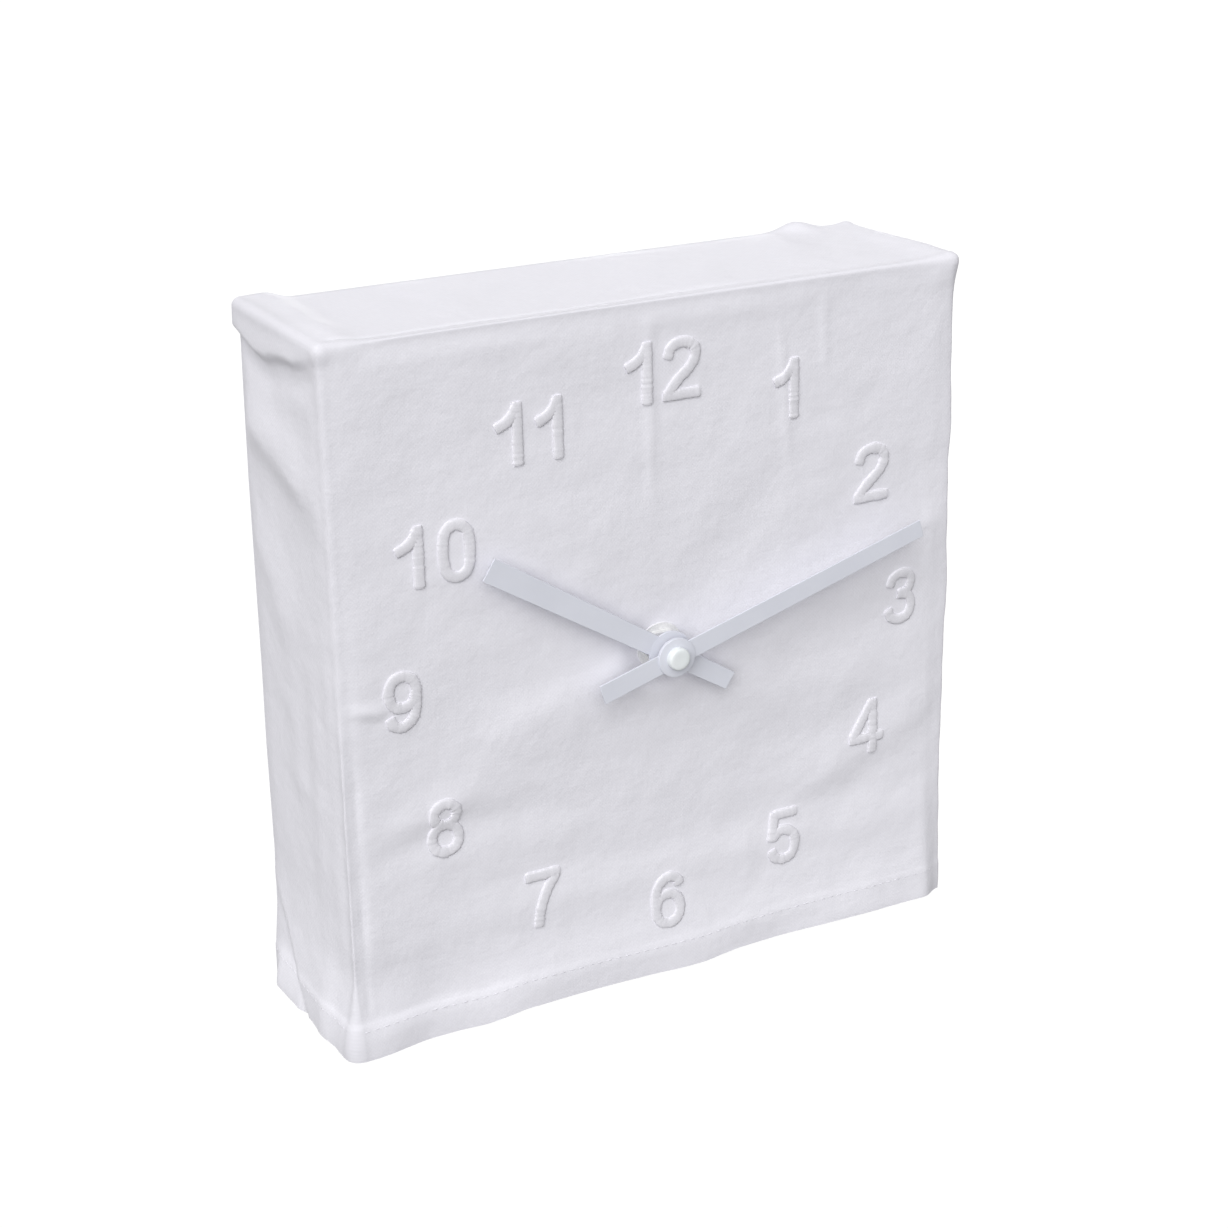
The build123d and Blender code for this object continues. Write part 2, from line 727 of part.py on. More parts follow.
with BuildPart() as hour_wheel:
    gear(hour_level, wheel_thickness, hour_wheel_teeth, hour_module, motion_direction)
    disc(pipe_out, pipe_out - hour_level, pipe_radius)
    bore(pipe_out, pipe_out - hour_level + wheel_thickness, arbor_radius + running_gap)
save(hour_wheel, "hour_wheel")

with BuildPart() as set_knob:
    with BuildSketch(dial(knob_out, *motion_at)):
        Circle(knob_radius)
        with PolarLocations(knob_radius, knob_flute_count):
            Rectangle(flute_side, flute_side, rotation=45, mode=Mode.SUBTRACT)
    extrude(amount=-knob_height)
    bore(knob_out, knob_seat + end_gap, knob_shaft_radius + seat_gap, at=motion_at)
save(set_knob, "set_knob")


# Hands, set as they stand at rest
def blade(out, angle, tip, tail, tip_width, tail_width, hub):
    """Tapered sheet blade with square ends and a round hub, in the active part."""
    pointing = (math.sin(math.radians(angle)), 0, math.cos(math.radians(angle)))
    with BuildSketch(Plane(origin=dial(out).origin, x_dir=pointing, z_dir=(0, -1, 0))) as outline:
        Polygon((-tail, -tail_width / 2), (tip, -tip_width / 2), (tip, tip_width / 2),
                (-tail, tail_width / 2), align=None)
        Circle(hub)
    extrude(outline.sketch, amount=-hand_sheet)


with BuildPart() as hour_hand:
    blade(hour_face_out, hour_angle, hour_tip, hour_tail, hour_tip_width, hour_tail_width, hour_hub_radius)
    disc(hour_sheet_out, collet_length, collet_radius)
    bore(hour_face_out, hand_sheet + collet_length, pipe_radius + seat_gap)
save(hour_hand, "hour_hand")

with BuildPart() as minute_hand:
    blade(minute_face_out, minute_angle, minute_tip, minute_tail, minute_tip_width, minute_tail_width,
          minute_hub_radius)
    disc(cap_out, minute_hub_height, minute_hub_radius)
    bore(cap_out, minute_hub_height + hand_sheet, cap_thread_radius + seat_gap)
save(minute_hand, "minute_hand")

with BuildPart() as hand_nut:
    disc(cap_out + cap_height, cap_height, cap_radius)
    chamfer(hand_nut.faces().sort_by(Axis.Y)[0].edges(), length=cap_crown)
    bore(cap_out + cap_thread_depth + end_gap, cap_thread_depth + end_gap, cap_thread_radius + seat_gap)
save(hand_nut, "hand_nut")
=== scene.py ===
import json
import math
import random
from types import SimpleNamespace

import bmesh
import bpy
import numpy as np
from mathutils import Matrix, Vector, noise


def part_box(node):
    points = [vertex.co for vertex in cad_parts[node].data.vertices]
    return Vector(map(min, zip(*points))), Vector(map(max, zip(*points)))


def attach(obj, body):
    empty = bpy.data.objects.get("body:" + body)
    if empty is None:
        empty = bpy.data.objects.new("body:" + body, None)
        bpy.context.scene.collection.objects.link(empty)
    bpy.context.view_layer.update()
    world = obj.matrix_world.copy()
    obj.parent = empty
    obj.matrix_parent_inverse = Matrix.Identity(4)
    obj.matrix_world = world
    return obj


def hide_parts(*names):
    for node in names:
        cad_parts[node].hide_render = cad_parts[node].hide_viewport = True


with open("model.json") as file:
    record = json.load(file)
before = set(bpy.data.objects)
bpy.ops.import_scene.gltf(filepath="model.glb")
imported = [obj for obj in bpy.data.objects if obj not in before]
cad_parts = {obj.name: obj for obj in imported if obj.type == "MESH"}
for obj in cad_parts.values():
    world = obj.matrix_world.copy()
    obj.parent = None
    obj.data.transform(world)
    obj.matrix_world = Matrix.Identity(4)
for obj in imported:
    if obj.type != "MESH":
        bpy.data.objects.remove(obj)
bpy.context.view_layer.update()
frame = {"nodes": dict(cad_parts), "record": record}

# Table clock in a sewn cotton slipcover. Blender's units are metres, as in the frame. The cloth is worked out
# in millimetres: x to the right, t backwards from the front of the cloth, z up from the table.
MM = 0.001

# The cloth's thickness, and places that the frame gives; only FRONT_Y is in metres
CLOTH = 0.8
washer_low, washer_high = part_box("neck_washer")
top_low, top_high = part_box("cover_top")
FRONT_Y = washer_high.y
SHAFT_Z = (washer_low.z + washer_high.z) / 2 / MM
HALF_WIDTH = top_high.x / MM + CLOTH
DEPTH = (top_high.y - FRONT_Y) / MM + CLOTH
TOP_Z = top_high.z / MM
LOW_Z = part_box("cover_right")[0].z / MM


# Node helpers
def add_node(tree, kind, inputs=None, **settings):
    """Adds a node; an input is a plain value or the socket that feeds it."""
    made = tree.nodes.new(kind)
    for name, value in settings.items():
        setattr(made, name, value)
    for socket, value in (inputs or {}).items():
        if isinstance(value, bpy.types.NodeSocket):
            tree.links.new(value, made.inputs[socket])
        else:
            made.inputs[socket].default_value = value
    return made


def new_finish(name, colour, roughness, metallic=0.0, **sockets):
    """Starts a material with its plain values on the shader; returns it with its tree and shader."""
    material = bpy.data.materials.new(name)
    material.use_nodes = True
    shader = material.node_tree.nodes["Principled BSDF"]
    shader.inputs["Base Color"].default_value = (*colour, 1.0)
    shader.inputs["Roughness"].default_value = roughness
    shader.inputs["Metallic"].default_value = metallic
    for socket, value in sockets.items():
        shader.inputs[socket.replace("_", " ")].default_value = value
    return material, material.node_tree, shader


def object_place(tree):
    return add_node(tree, "ShaderNodeTexCoord").outputs["Object"]


def grain(tree, place, scale, detail, rough=0.55, stretch=(1.0, 1.0, 1.0)):
    """Noise of so many cells per metre, longer where the stretch is small."""
    mapped = add_node(tree, "ShaderNodeMapping", {"Vector": place, "Scale": stretch})
    return add_node(tree, "ShaderNodeTexNoise", {"Vector": mapped.outputs["Vector"], "Scale": scale,
                                                 "Detail": detail, "Roughness": rough}).outputs["Fac"]


def ramp(tree, factor, *stops):
    """Colour ramp through (place, colour) stops."""
    made = add_node(tree, "ShaderNodeValToRGB", {"Fac": factor})
    while len(made.color_ramp.elements) < len(stops):
        made.color_ramp.elements.new(0.5)
    for element, (place, colour) in zip(made.color_ramp.elements, stops):
        element.position = place
        element.color = (*colour, 1.0)
    return made.outputs["Color"]


def sums(tree, operation, first, second):
    return add_node(tree, "ShaderNodeMath", {0: first, 1: second}, operation=operation).outputs["Value"]


def emboss(tree, shader, height, depth, strength):
    """Bump of that depth in millimetres on the shader."""
    made = add_node(tree, "ShaderNodeBump", {"Height": height, "Distance": depth * MM, "Strength": strength})
    tree.links.new(made.outputs["Normal"], shader.inputs["Normal"])


def feed(tree, shader, socket, source):
    tree.links.new(source, shader.inputs[socket])


# Finishes: a wave texture of scale 1 repeats after WAVE_PERIOD, and coarse bumps are (cells per metre, share)
WAVE_PERIOD = 0.31416
THREAD_PITCH = 0.55 * MM
WIRE_PITCH = 0.25 * MM
SLUB_CELLS = 1500.0
SLUB_STRETCHES = ((1.0, 0.2, 1.0), (0.2, 1.0, 1.0))
WEAVE_BUMP = 0.35
COARSE_BUMPS = ((130.0, 8.5), (420.0, 4.2))
WEAVE_SHADE, SLUB_SHADE = 0.15, 0.5
# Share of the cotton's colour taken off along the case's edges: painted shade that dims the light the rounded edges
# catch
EDGE_SHADE_DEPTH = 0.1
COTTON_DARK, COTTON_LIGHT = (0.775, 0.767, 0.82), (0.825, 0.817, 0.872)
STITCH_DARK, STITCH_LIGHT = (0.68, 0.672, 0.72), (0.76, 0.752, 0.80)
WRAP_BAND, WRAP_BAND_END = (0.62, 0.63, 0.64), 0.27


def cotton_finish():
    """Plain-weave cotton: threads over and under on the cloth's own UV, slubs, and painted shade that greys it along
    the case's edges.
    """
    material, tree, shader = new_finish("cotton", (0.80, 0.79, 0.84), 0.92, Sheen_Weight=0.15,
                                        Sheen_Roughness=0.4, Specular_IOR_Level=0.25)
    place = add_node(tree, "ShaderNodeUVMap", uv_map="cloth").outputs["UV"]
    waves = []
    for direction in ("X", "Y"):
        wave = add_node(tree, "ShaderNodeTexWave", {"Vector": place, "Scale": WAVE_PERIOD / (2 * THREAD_PITCH),
                                                    "Distortion": 0.6, "Detail": 1.0, "Detail Scale": 0.3},
                        bands_direction=direction)
        waves.append(add_node(tree, "ShaderNodeMapRange", {"Value": wave.outputs["Fac"], "To Min": -1.0,
                                                           "To Max": 1.0}).outputs["Result"])
    weave = sums(tree, "MULTIPLY", *waves)
    slubs = sums(tree, "ADD", *(grain(tree, place, SLUB_CELLS, 2.0, 0.5, stretch) for stretch in SLUB_STRETCHES))
    height = sums(tree, "ADD", sums(tree, "MULTIPLY", weave, WEAVE_BUMP), slubs)
    for cells, share in COARSE_BUMPS:
        height = sums(tree, "ADD", height, sums(tree, "MULTIPLY", grain(tree, place, cells, 3.0, 0.6), share))
    emboss(tree, shader, height, 0.05, 0.5)
    shade = sums(tree, "ADD", sums(tree, "MULTIPLY", weave, WEAVE_SHADE), sums(tree, "MULTIPLY", slubs, SLUB_SHADE))
    colour = ramp(tree, shade, (0.2, COTTON_DARK), (0.8, COTTON_LIGHT))
    # Painted shade: the colour is darkened along the case's edges, which catch the most light
    edge_shade = add_node(tree, "ShaderNodeAttribute", attribute_name="seam_wear").outputs["Fac"]
    kept = sums(tree, "SUBTRACT", 1.0, sums(tree, "MULTIPLY", edge_shade, EDGE_SHADE_DEPTH))
    shaded_colour = add_node(tree, "ShaderNodeVectorMath", {"Vector": colour, "Scale": kept}, operation="SCALE")
    feed(tree, shader, "Base Color", shaded_colour.outputs["Vector"])
    return material


def thread_finish():
    """Glossier embroidery and sewing thread, twisted strands across the piece's own place."""
    material, tree, shader = new_finish("sewing_thread", (0.82, 0.812, 0.86), 0.6, Sheen_Weight=0.1,
                                        Specular_IOR_Level=0.4)
    strands = grain(tree, object_place(tree), 2600.0, 2.0)
    feed(tree, shader, "Base Color", ramp(tree, strands, (0.25, STITCH_DARK), (0.7, STITCH_LIGHT)))
    emboss(tree, shader, strands, 0.06, 0.6)
    return material


def clouded_finish(name, dark, light, roughness, clouds, pits, depth, strength, **sockets):
    """Faint clouding and fine pits, both in cells per metre."""
    material, tree, shader = new_finish(name, light, roughness, **sockets)
    place = object_place(tree)
    feed(tree, shader, "Base Color", ramp(tree, grain(tree, place, clouds, 3.0), (0.3, dark), (0.7, light)))
    emboss(tree, shader, grain(tree, place, pits, 2.0), depth, strength)
    return material


def paint_finish(name, dark, light, roughness):
    """Sprayed satin paint with fine orange peel."""
    return clouded_finish(name, dark, light, roughness, 60.0, 1800.0, 0.02, 0.5, Coat_Weight=0.15, Coat_Roughness=0.35)


def moulded_finish(name, dark, light, roughness, depth=0.04):
    """Moulded plastic or rubber with spark-eroded grain."""
    return clouded_finish(name, dark, light, roughness, 90.0, 2400.0, depth, 0.6, Specular_IOR_Level=0.4)


def plated_finish(name, dark, light, roughness, brush=(1.0, 1.0, 1.0), metallic=1.0):
    """Metal with fine brushing, brighter where it is rubbed."""
    material, tree, shader = new_finish(name, light, roughness, metallic)
    streaks = grain(tree, object_place(tree), 1500.0, 3.0, 0.6, brush)
    feed(tree, shader, "Base Color", ramp(tree, streaks, (0.3, dark), (0.7, light)))
    rough = add_node(tree, "ShaderNodeMapRange", {"Value": streaks, "To Min": roughness * 0.7,
                                                  "To Max": roughness * 1.4}).outputs["Result"]
    feed(tree, shader, "Roughness", rough)
    emboss(tree, shader, streaks, 0.015, 0.5)
    return material


def fibreboard_finish():
    """Sanded fibreboard: short felted fibres in two browns."""
    material, tree, shader = new_finish("fibreboard", (0.42, 0.28, 0.17), 0.85, Specular_IOR_Level=0.2)
    place = object_place(tree)
    fibres = grain(tree, place, 1400.0, 5.0, 0.7)
    mottle = grain(tree, place, 220.0, 4.0, 0.65)
    blend = sums(tree, "ADD", sums(tree, "MULTIPLY", fibres, 0.5), sums(tree, "MULTIPLY", mottle, 0.5))
    feed(tree, shader, "Base Color", ramp(tree, blend, (0.32, (0.27, 0.165, 0.09)), (0.5, (0.42, 0.28, 0.165)),
                                          (0.68, (0.55, 0.40, 0.25))))
    emboss(tree, shader, fibres, 0.08, 0.6)
    return material


def winding_finish():
    """Enamelled wire, turn beside turn up the coil."""
    material, tree, shader = new_finish("enamelled_wire", (0.55, 0.22, 0.09), 0.3, 1.0)
    turns = add_node(tree, "ShaderNodeTexWave", {"Vector": object_place(tree), "Scale": WAVE_PERIOD / WIRE_PITCH,
                                                 "Distortion": 0.3}, bands_direction="Z").outputs["Fac"]
    feed(tree, shader, "Base Color", ramp(tree, turns, (0.2, (0.30, 0.10, 0.04)), (0.8, (0.62, 0.27, 0.12))))
    emboss(tree, shader, turns, 0.06, 0.8)
    return material


def circuit_finish():
    """Solder mask over copper runs."""
    material, tree, shader = new_finish("solder_mask", (0.03, 0.16, 0.07), 0.4)
    runs = add_node(tree, "ShaderNodeTexVoronoi", {"Vector": object_place(tree), "Scale": 420.0},
                    distance="MANHATTAN").outputs["Distance"]
    feed(tree, shader, "Base Color", ramp(tree, runs, (0.35, (0.05, 0.25, 0.11)), (0.45, (0.02, 0.12, 0.05))))
    emboss(tree, shader, runs, 0.03, 0.4)
    return material


def wrap_finish():
    """Shrink wrap of the cell, with a lighter band at its nub end."""
    material, tree, shader = new_finish("shrink_wrap", (0.06, 0.065, 0.08), 0.28, Coat_Weight=0.4)
    place = object_place(tree)
    along = add_node(tree, "ShaderNodeSeparateXYZ", {"Vector": place}).outputs["X"]
    cell_low, cell_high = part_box("battery")
    share = add_node(tree, "ShaderNodeMapRange", {"Value": along, "From Min": cell_low.x, "From Max": cell_high.x})
    bands = ramp(tree, share.outputs["Result"], (0.0, WRAP_BAND), (WRAP_BAND_END, WRAP_BAND),
                 (WRAP_BAND_END + 0.01, (0.05, 0.055, 0.07)), (1.0, (0.07, 0.075, 0.09)))
    feed(tree, shader, "Base Color", bands)
    emboss(tree, shader, grain(tree, place, 500.0, 3.0), 0.03, 0.4)
    return material


FINISHES = {
    "cotton": cotton_finish(),
    "board": fibreboard_finish(),
    "rubber": moulded_finish("foot_rubber", (0.018, 0.018, 0.02), (0.03, 0.03, 0.032), 0.8, 0.08),
    "hand_paint": paint_finish("hand_paint", (0.64, 0.655, 0.725), (0.68, 0.695, 0.765), 0.42),
    "cap_paint": paint_finish("cap_paint", (0.75, 0.79, 0.80), (0.81, 0.84, 0.85), 0.35),
    "nickel": plated_finish("nickel_plate", (0.74, 0.74, 0.75), (0.88, 0.88, 0.88), 0.4, (1.0, 0.1, 1.0), 0.2),
    "black_plastic": moulded_finish("black_moulding", (0.018, 0.018, 0.02), (0.032, 0.032, 0.034), 0.55),
    "white_plastic": moulded_finish("white_moulding", (0.72, 0.72, 0.68), (0.80, 0.80, 0.76), 0.45),
    "brass": plated_finish("turned_brass", (0.55, 0.38, 0.13), (0.78, 0.58, 0.24), 0.25, (1.0, 0.1, 1.0)),
    "magnet": plated_finish("sintered_magnet", (0.16, 0.16, 0.17), (0.26, 0.26, 0.27), 0.5),
    "steel": plated_finish("plated_steel", (0.45, 0.45, 0.46), (0.64, 0.64, 0.65), 0.3, (1.0, 1.0, 0.1)),
    "copper": winding_finish(),
    "circuit": circuit_finish(),
    "battery_wrap": wrap_finish(),
}
THREAD = thread_finish()

for subpart in frame["record"]["subparts"]:
    solid = frame["nodes"][subpart["node"]]
    if not solid.material_slots:
        solid.data.materials.append(None)
    for holder in solid.material_slots:
        holder.material = FINISHES[subpart["material_slot"]]


# Piece helpers
def place_piece(name, mesh, body, slot, material=None):
    """Puts a finished mesh in the scene, smooth shaded, riding on a body, in its slot's material or the one given."""
    piece = bpy.data.objects.new(name, mesh)
    bpy.context.collection.objects.link(piece)
    mesh.materials.clear()
    mesh.materials.append(material or FINISHES[slot])
    mesh.polygons.foreach_set("use_smooth", [True] * len(mesh.polygons))
    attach(piece, body)
    return piece


def mesh_from(bm, name, sharp):
    """Turns a bmesh into a mesh whose edges sharper than `sharp` degrees stay crisp."""
    bmesh.ops.recalc_face_normals(bm, faces=bm.faces)
    mesh = bpy.data.meshes.new(name)
    bm.to_mesh(mesh)
    bm.free()
    mesh.set_sharp_from_angle(angle=math.radians(sharp))
    return mesh


def smooth_step(value, low, high):
    share = np.clip((value - low) / (high - low), 0.0, 1.0)
    return share * share * (3 - 2 * share)


def swell(value, middle, width):
    return np.exp(-((value - middle) / width) ** 2)


def mound(gap, height, reach):
    return height * swell(gap, 0, reach)


def fall(value, full, none):
    """Share that is 1 up to `full` and 0 from `none` on."""
    return 1 - smooth_step(value, full, none)


# Slipcover: the folds of each panel run along a bent line from its start past its bend to its end. Each has
# its width below and above the line, how far it stands out (a hollow is negative), and the share of that
# left at its start and at its end.
FRONT_FOLDS = (
    ((6, 98.9), (43, 108.9), (93, 123.5), (14, 2.9), 1.8, (0.7, 0.3)),
    ((8, 112), (24, 122), (47, 162), (6, 9), -0.4, (0.2, 0.1)),
    ((-4, 122), (-35, 139), (-75, 150), (14, 22), 0.6, (0.3, 0.2)),
    ((-3, 97), (-22, 92), (-64, 83), (13, 7), 1.2, (0.6, 0.0)),
    ((-93, 57), (-64, 64), (-18, 60), (5, 6), -0.5, (1.0, 0.1)),
    ((-90, 60), (-70, 70), (-48, 72), (4, 6), 0.5, (0.6, 0.0)),
    ((34, 46), (66, 52), (95, 70), (6, 10), 0.85, (0.1, 0.8)),
    ((6, 88), (40, 74), (94, 84), (9, 10), 0.7, (0.2, 0.3)),
    ((-94, 101.5), (-90, 101.2), (-80, 99), (1.2, 2.4), 0.7, (1.0, 0.0)),
    ((-2.4, 194), (-2.2, 170), (-2.6, 138), (1.4, 1.4), 0.35, (0.6, 0.0)),
    ((38, 192), (39, 170), (42, 141), (1.3, 1.3), 0.35, (0.2, 0.1)),
    ((52.2, 194), (52.4, 184), (52.6, 170), (1.3, 1.3), 0.32, (0.3, 0.0)),
)
LEFT_FOLDS = (
    ((56, 170), (34, 168.5), (5, 156), (7, 9), 1.9, (0.5, 0.3)),
    ((54, 142), (38, 131), (26, 108), (7, 10), 1.1, (0.3, 0.1)),
    ((30, 100), (30, 84), (26, 62), (6, 6), 0.6, (0.1, 0.1)),
    ((16, 120), (14, 80), (18, 40), (5, 4), 0.5, (0.1, 0.2)),
)
RIGHT_FOLDS = (
    ((3, 150), (24, 132), (52, 136), (8, 4), 1.4, (0.2, 0.3)),
    ((6, 60), (26, 42), (52, 38), (8, 4), 1.2, (0.2, 0.4)),
)
BACK_FOLDS = (
    ((-92, 168), (-50, 160), (0, 166), (8, 5), 1.1, (0.3, 0.1)),
    ((92, 34), (40, 40), (-30, 32), (8, 5), 1.2, (0.4, 0.1)),
    ((-90, 30), (-60, 24), (-20, 22), (6, 4), 0.9, (0.6, 0.1)),
)
TOP_FOLDS = (
    ((-50, 2), (-46, 28), (-52, 54), (6, 7), 0.45, (0.2, 0.3)),
    ((8, 2), (10, 28), (14, 54), (28, 10), 0.8, (0.4, 0.5)),
    ((52, 2), (56, 28), (60, 54), (24, 9), 0.7, (0.3, 0.5)),
)
FOLD_SAMPLES = 48
FOLD_FADE = (0.0, 0.3)

# Slack of the panels with its slow waves as (height, length across, length up, start), and where it fades
SLACK, TOP_SLACK = 0.45, 0.15
SWAY = ((0.16, 13.0, 31.0, 0.0), (0.14, -37.0, 11.0, 1.3))
DEEPEST = -0.35
EDGE_FADE = 7.0
SHAFT_FADE = (7.0, 14.0)
CRUMPLE_SIZE, CRUMPLE_DEPTH, CRUMPLE_FRACTAL = 13.0, 0.2, (1.0, 2.1, 3)

# Lower half and slack side of the cover, and the rounding of its edges with what puffed ones add as (height, reach)
LOWER_HALF = (70.0, 120.0)
SLACK_SIDE = (-30.0, 60.0)
EDGE_ROUND = 0.4
LEFT_EDGE_PUFF, FRONT_TOP_PUFF = (1.3, 14.0), (0.3, 12.0)
LEFT_ROLL_PUFF, RIGHT_ROLL_PUFF = (0.3, 16.0), (2.4, 16.0)
FRONT_PUFF = 0.3
PUFF_GROWS = (2.0, 30.0)

# Skirt of the front: steps as (rise, full up to, none from), one more at the right, and others at the left
SKIRT_STEPS = ((0.8, 31.0, 44.0), (0.55, 15.0, 27.0), (1.25, 6.0, 19.0))
SKIRT_RIGHT, SKIRT_RIGHT_GROWS = ((0.7, 0.0, 9.0),), (25.0, 60.0)
SKIRT_LEFT, SKIRT_LEFT_ENDS = ((0.8, 5.5, 13.0), (-0.9, 12.0, 32.0)), (-78.0, -45.0)

# Hem, flare of the lower left corner as (height, reach), tuck that slopes up the left panel, and lobe behind it
HEM_TOP = LOW_Z + 10.0
HEM_STEP = 1.0
HEM_THICK, HEM_LEFT = 0.2, (0.3, 40.0)
FOOT_TOP = 14.0
HEM_WAVE, HEM_WAVE_LENGTH, HEM_WAVE_START = 0.3, 8.5, 0.7
FLARE, FLARE_TOP = (3.5, 18.0), 26.0
TUCK_RISE, TUCK_HEIGHTS = 2.2, (2.0, 40.0)
TUCK_PLACE, TUCK_SLOPE, TUCK_HALF = 28.0, 0.85, 2.4
TUCK_GROWS = (6.0, 17.0)
LOBE_RISE, LOBE_GROWS, LOBE_FADE = 3.0, (24.0, 33.0), (0.0, 8.0)

# Seams: puckers, lips along edges (the left one wider on the front), groove by the left edge, sunk seams, corners
PUCKER, PUCKER_LENGTHS, PUCKER_START = 0.10, (2.9, 7.3), 1.0
LEFT_LIP, LEFT_LIP_REACHES, LEFT_PUCKER_REACH = 0.12, (3.0, 0.8), 4.0
RIGHT_LIP, RIGHT_LIP_REACH = 0.2, 2.6
FRONT_TOP_LIP = (0.3, 6.0)
GROOVE, GROOVE_WAVE, GROOVE_WAVE_LENGTH = 0.20, 0.10, 5.3
GROOVE_PLACE, GROOVE_HALF, GROOVE_GROWS = 3.3, 0.9, 6.0
SEAM_BACK, SEAM_HALF = 3.4, 0.45
SIDE_SEAM, TOP_SEAM, SLACK_TOP_SEAM = 0.15, 0.25, 0.8
TOP_SEAM_GROWS = (2.0, 6.0)
CORNER_FILL, CORNER_ROUND, CORNER_REACH = 0.5, 1.2, 5.0

# Distances from the front with how far the left and right rolls stand out, and with the drop of the left lip
LEFT_ROLL = ((0, 6, 20, 40, 55), (0.3, 0.9, 1.8, 2.0, 2.0))
RIGHT_ROLL = ((0, 13, 25, 45, 55), (0.9, 1.6, 1.4, 0.8, 0.5))
LIP_DROP = ((0, 4, 8, 14, 20, 26, 32, 38, 44, 50, 55), (4.0, 4.8, 6.3, 7.8, 7.8, 8.8, 10.3, 10.3, 9.3, 7.8, 7.0))
ROLL_WIDTH = (7.0, 15.0)
LIP_ABOVE, LIP_BELOW = 2.0, 1.6
UNDERCUT, UNDERCUT_DROP, UNDERCUT_HALF = 0.6, 4.5, 4.0
RIGHT_ROLL_REACH = 8.0
BACK_BUMP, BACK_BUMP_INSET, BACK_BUMP_HALF, BACK_BUMP_REACH = 2.4, 19.0, 6.0, 7.0

# Heights with the outward bow of the right front edge, and with the sideways lean of the left back edge; places
# across with how far the lower edge is drawn up
RIGHT_BOW = ((0, 11, 25, 40, 91, 103, 116, 140, 152, 164, 188, 199),
             (1.0, 1.0, 0.6, 0.1, 0.2, 0.8, 0.1, -0.3, 0.3, -0.3, -0.6, 0.0))
RIGHT_BOW_REACH = 9.0
FRONT_LEAN = 0.4
BACK_LEAN = ((0, 11, 23, 40, 74, 98, 150, 190), (-2.7, -2.6, -1.4, -1.0, -1.1, -0.8, -0.6, 0.0))
LEFT_RAISE = 0.1
HEM_LIFT = ((-96, -70, -58, -46, 12, 23, 44, 60, 96), (-0.3, -0.3, 0.0, 2.0, 1.1, 2.2, 2.6, 2.4, 1.8))
HEM_LIFT_TOP = 36.0
WINDOW_SIDE = 84.0
WINDOW_ROUND = 6.0
ON_PANEL = 1e-4


def fold_field(across, up, folds):
    """Height in millimetres that the folds of a panel give at each of its points."""
    height = np.zeros(len(across))
    shares = np.linspace(0.0, 1.0, FOLD_SAMPLES)
    for start, bend, end, widths, rise, ends in folds:
        line = [(1 - s) ** 2 * np.array(start) + 2 * s * (1 - s) * np.array(bend) + s * s * np.array(end)
                for s in shares]
        nearest = np.full(len(across), 1e9)
        at = np.zeros(len(across))
        side = np.zeros(len(across))
        for share, point, way in zip(shares, line, np.gradient(np.array(line), axis=0)):
            off_across, off_up = across - point[0], up - point[1]
            gap = off_across ** 2 + off_up ** 2
            closer = gap < nearest
            nearest[closer] = gap[closer]
            at[closer] = share
            turn = off_up * way[0] - off_across * way[1]
            side[closer] = (turn * (1 if way[0] >= 0 else -1))[closer]
        width = np.where(side < 0, widths[0], widths[1])
        fade = ((ends[0] + (1 - ends[0]) * smooth_step(at, *FOLD_FADE))
                * (ends[1] + (1 - ends[1]) * smooth_step(1 - at, *FOLD_FADE)))
        height += rise * fade * np.exp(-nearest / width ** 2)
    return height


def crumple(points):
    """Crushed look of washed cotton: uneven waves from a few millimetres to a few centimetres long."""
    return CRUMPLE_DEPTH * np.array([noise.fractal(Vector(point) / CRUMPLE_SIZE, *CRUMPLE_FRACTAL) for point in points])


def skirt(x, z):
    """How the lower front hangs: it flares in steps, but at the left only just above the hem."""
    middle, right, left = (sum(rise * fall(z, full, none) for rise, full, none in steps)
                           for steps in (SKIRT_STEPS, SKIRT_RIGHT, SKIRT_LEFT))
    by_left = fall(x, *SKIRT_LEFT_ENDS)
    return by_left * left + (1 - by_left) * (middle + right * smooth_step(x, *SKIRT_RIGHT_GROWS))


def cover_places(points):
    """How far points of the plain box (x, t, z) are from its edges, which panels they are on, and what fades there."""
    x, t, z = points.T
    at = SimpleNamespace(x=x, t=t, z=z, from_left=x + HALF_WIDTH, from_right=HALF_WIDTH - x, from_back=DEPTH - t,
                         below_top=TOP_Z - z, crush=crumple(points))
    at.left_edge, at.right_edge = np.hypot(at.from_left, t), np.hypot(at.from_right, t)
    at.left_roll, at.right_roll = np.hypot(at.from_left, at.below_top), np.hypot(at.from_right, at.below_top)
    at.front_top = np.hypot(t, at.below_top)
    at.front, at.back, at.top = t < ON_PANEL, at.from_back < ON_PANEL, at.below_top < ON_PANEL
    at.left, at.right = at.from_left < ON_PANEL, at.from_right < ON_PANEL
    at.near_side, at.near_end = np.minimum(at.from_left, at.from_right), np.minimum(t, at.from_back)
    at.side_fade, at.end_fade, at.top_fade = (smooth_step(gap, 0.0, EDGE_FADE)
                                              for gap in (at.near_side, at.near_end, at.below_top))
    at.lower = fall(z, *LOWER_HALF)
    at.slack_side = smooth_step(x, *SLACK_SIDE)
    return at


def edge_turn(at):
    """How widely the cloth turns over the edges: wider where it is puffed."""
    puff = FRONT_PUFF + (1 - FRONT_PUFF) * smooth_step(at.t, *PUFF_GROWS)
    return (EDGE_ROUND + (1 - at.lower) * mound(at.left_edge, *LEFT_EDGE_PUFF)
            + puff * (mound(at.left_roll, *LEFT_ROLL_PUFF) + mound(at.right_roll, *RIGHT_ROLL_PUFF))
            + at.slack_side * mound(at.front_top, *FRONT_TOP_PUFF))


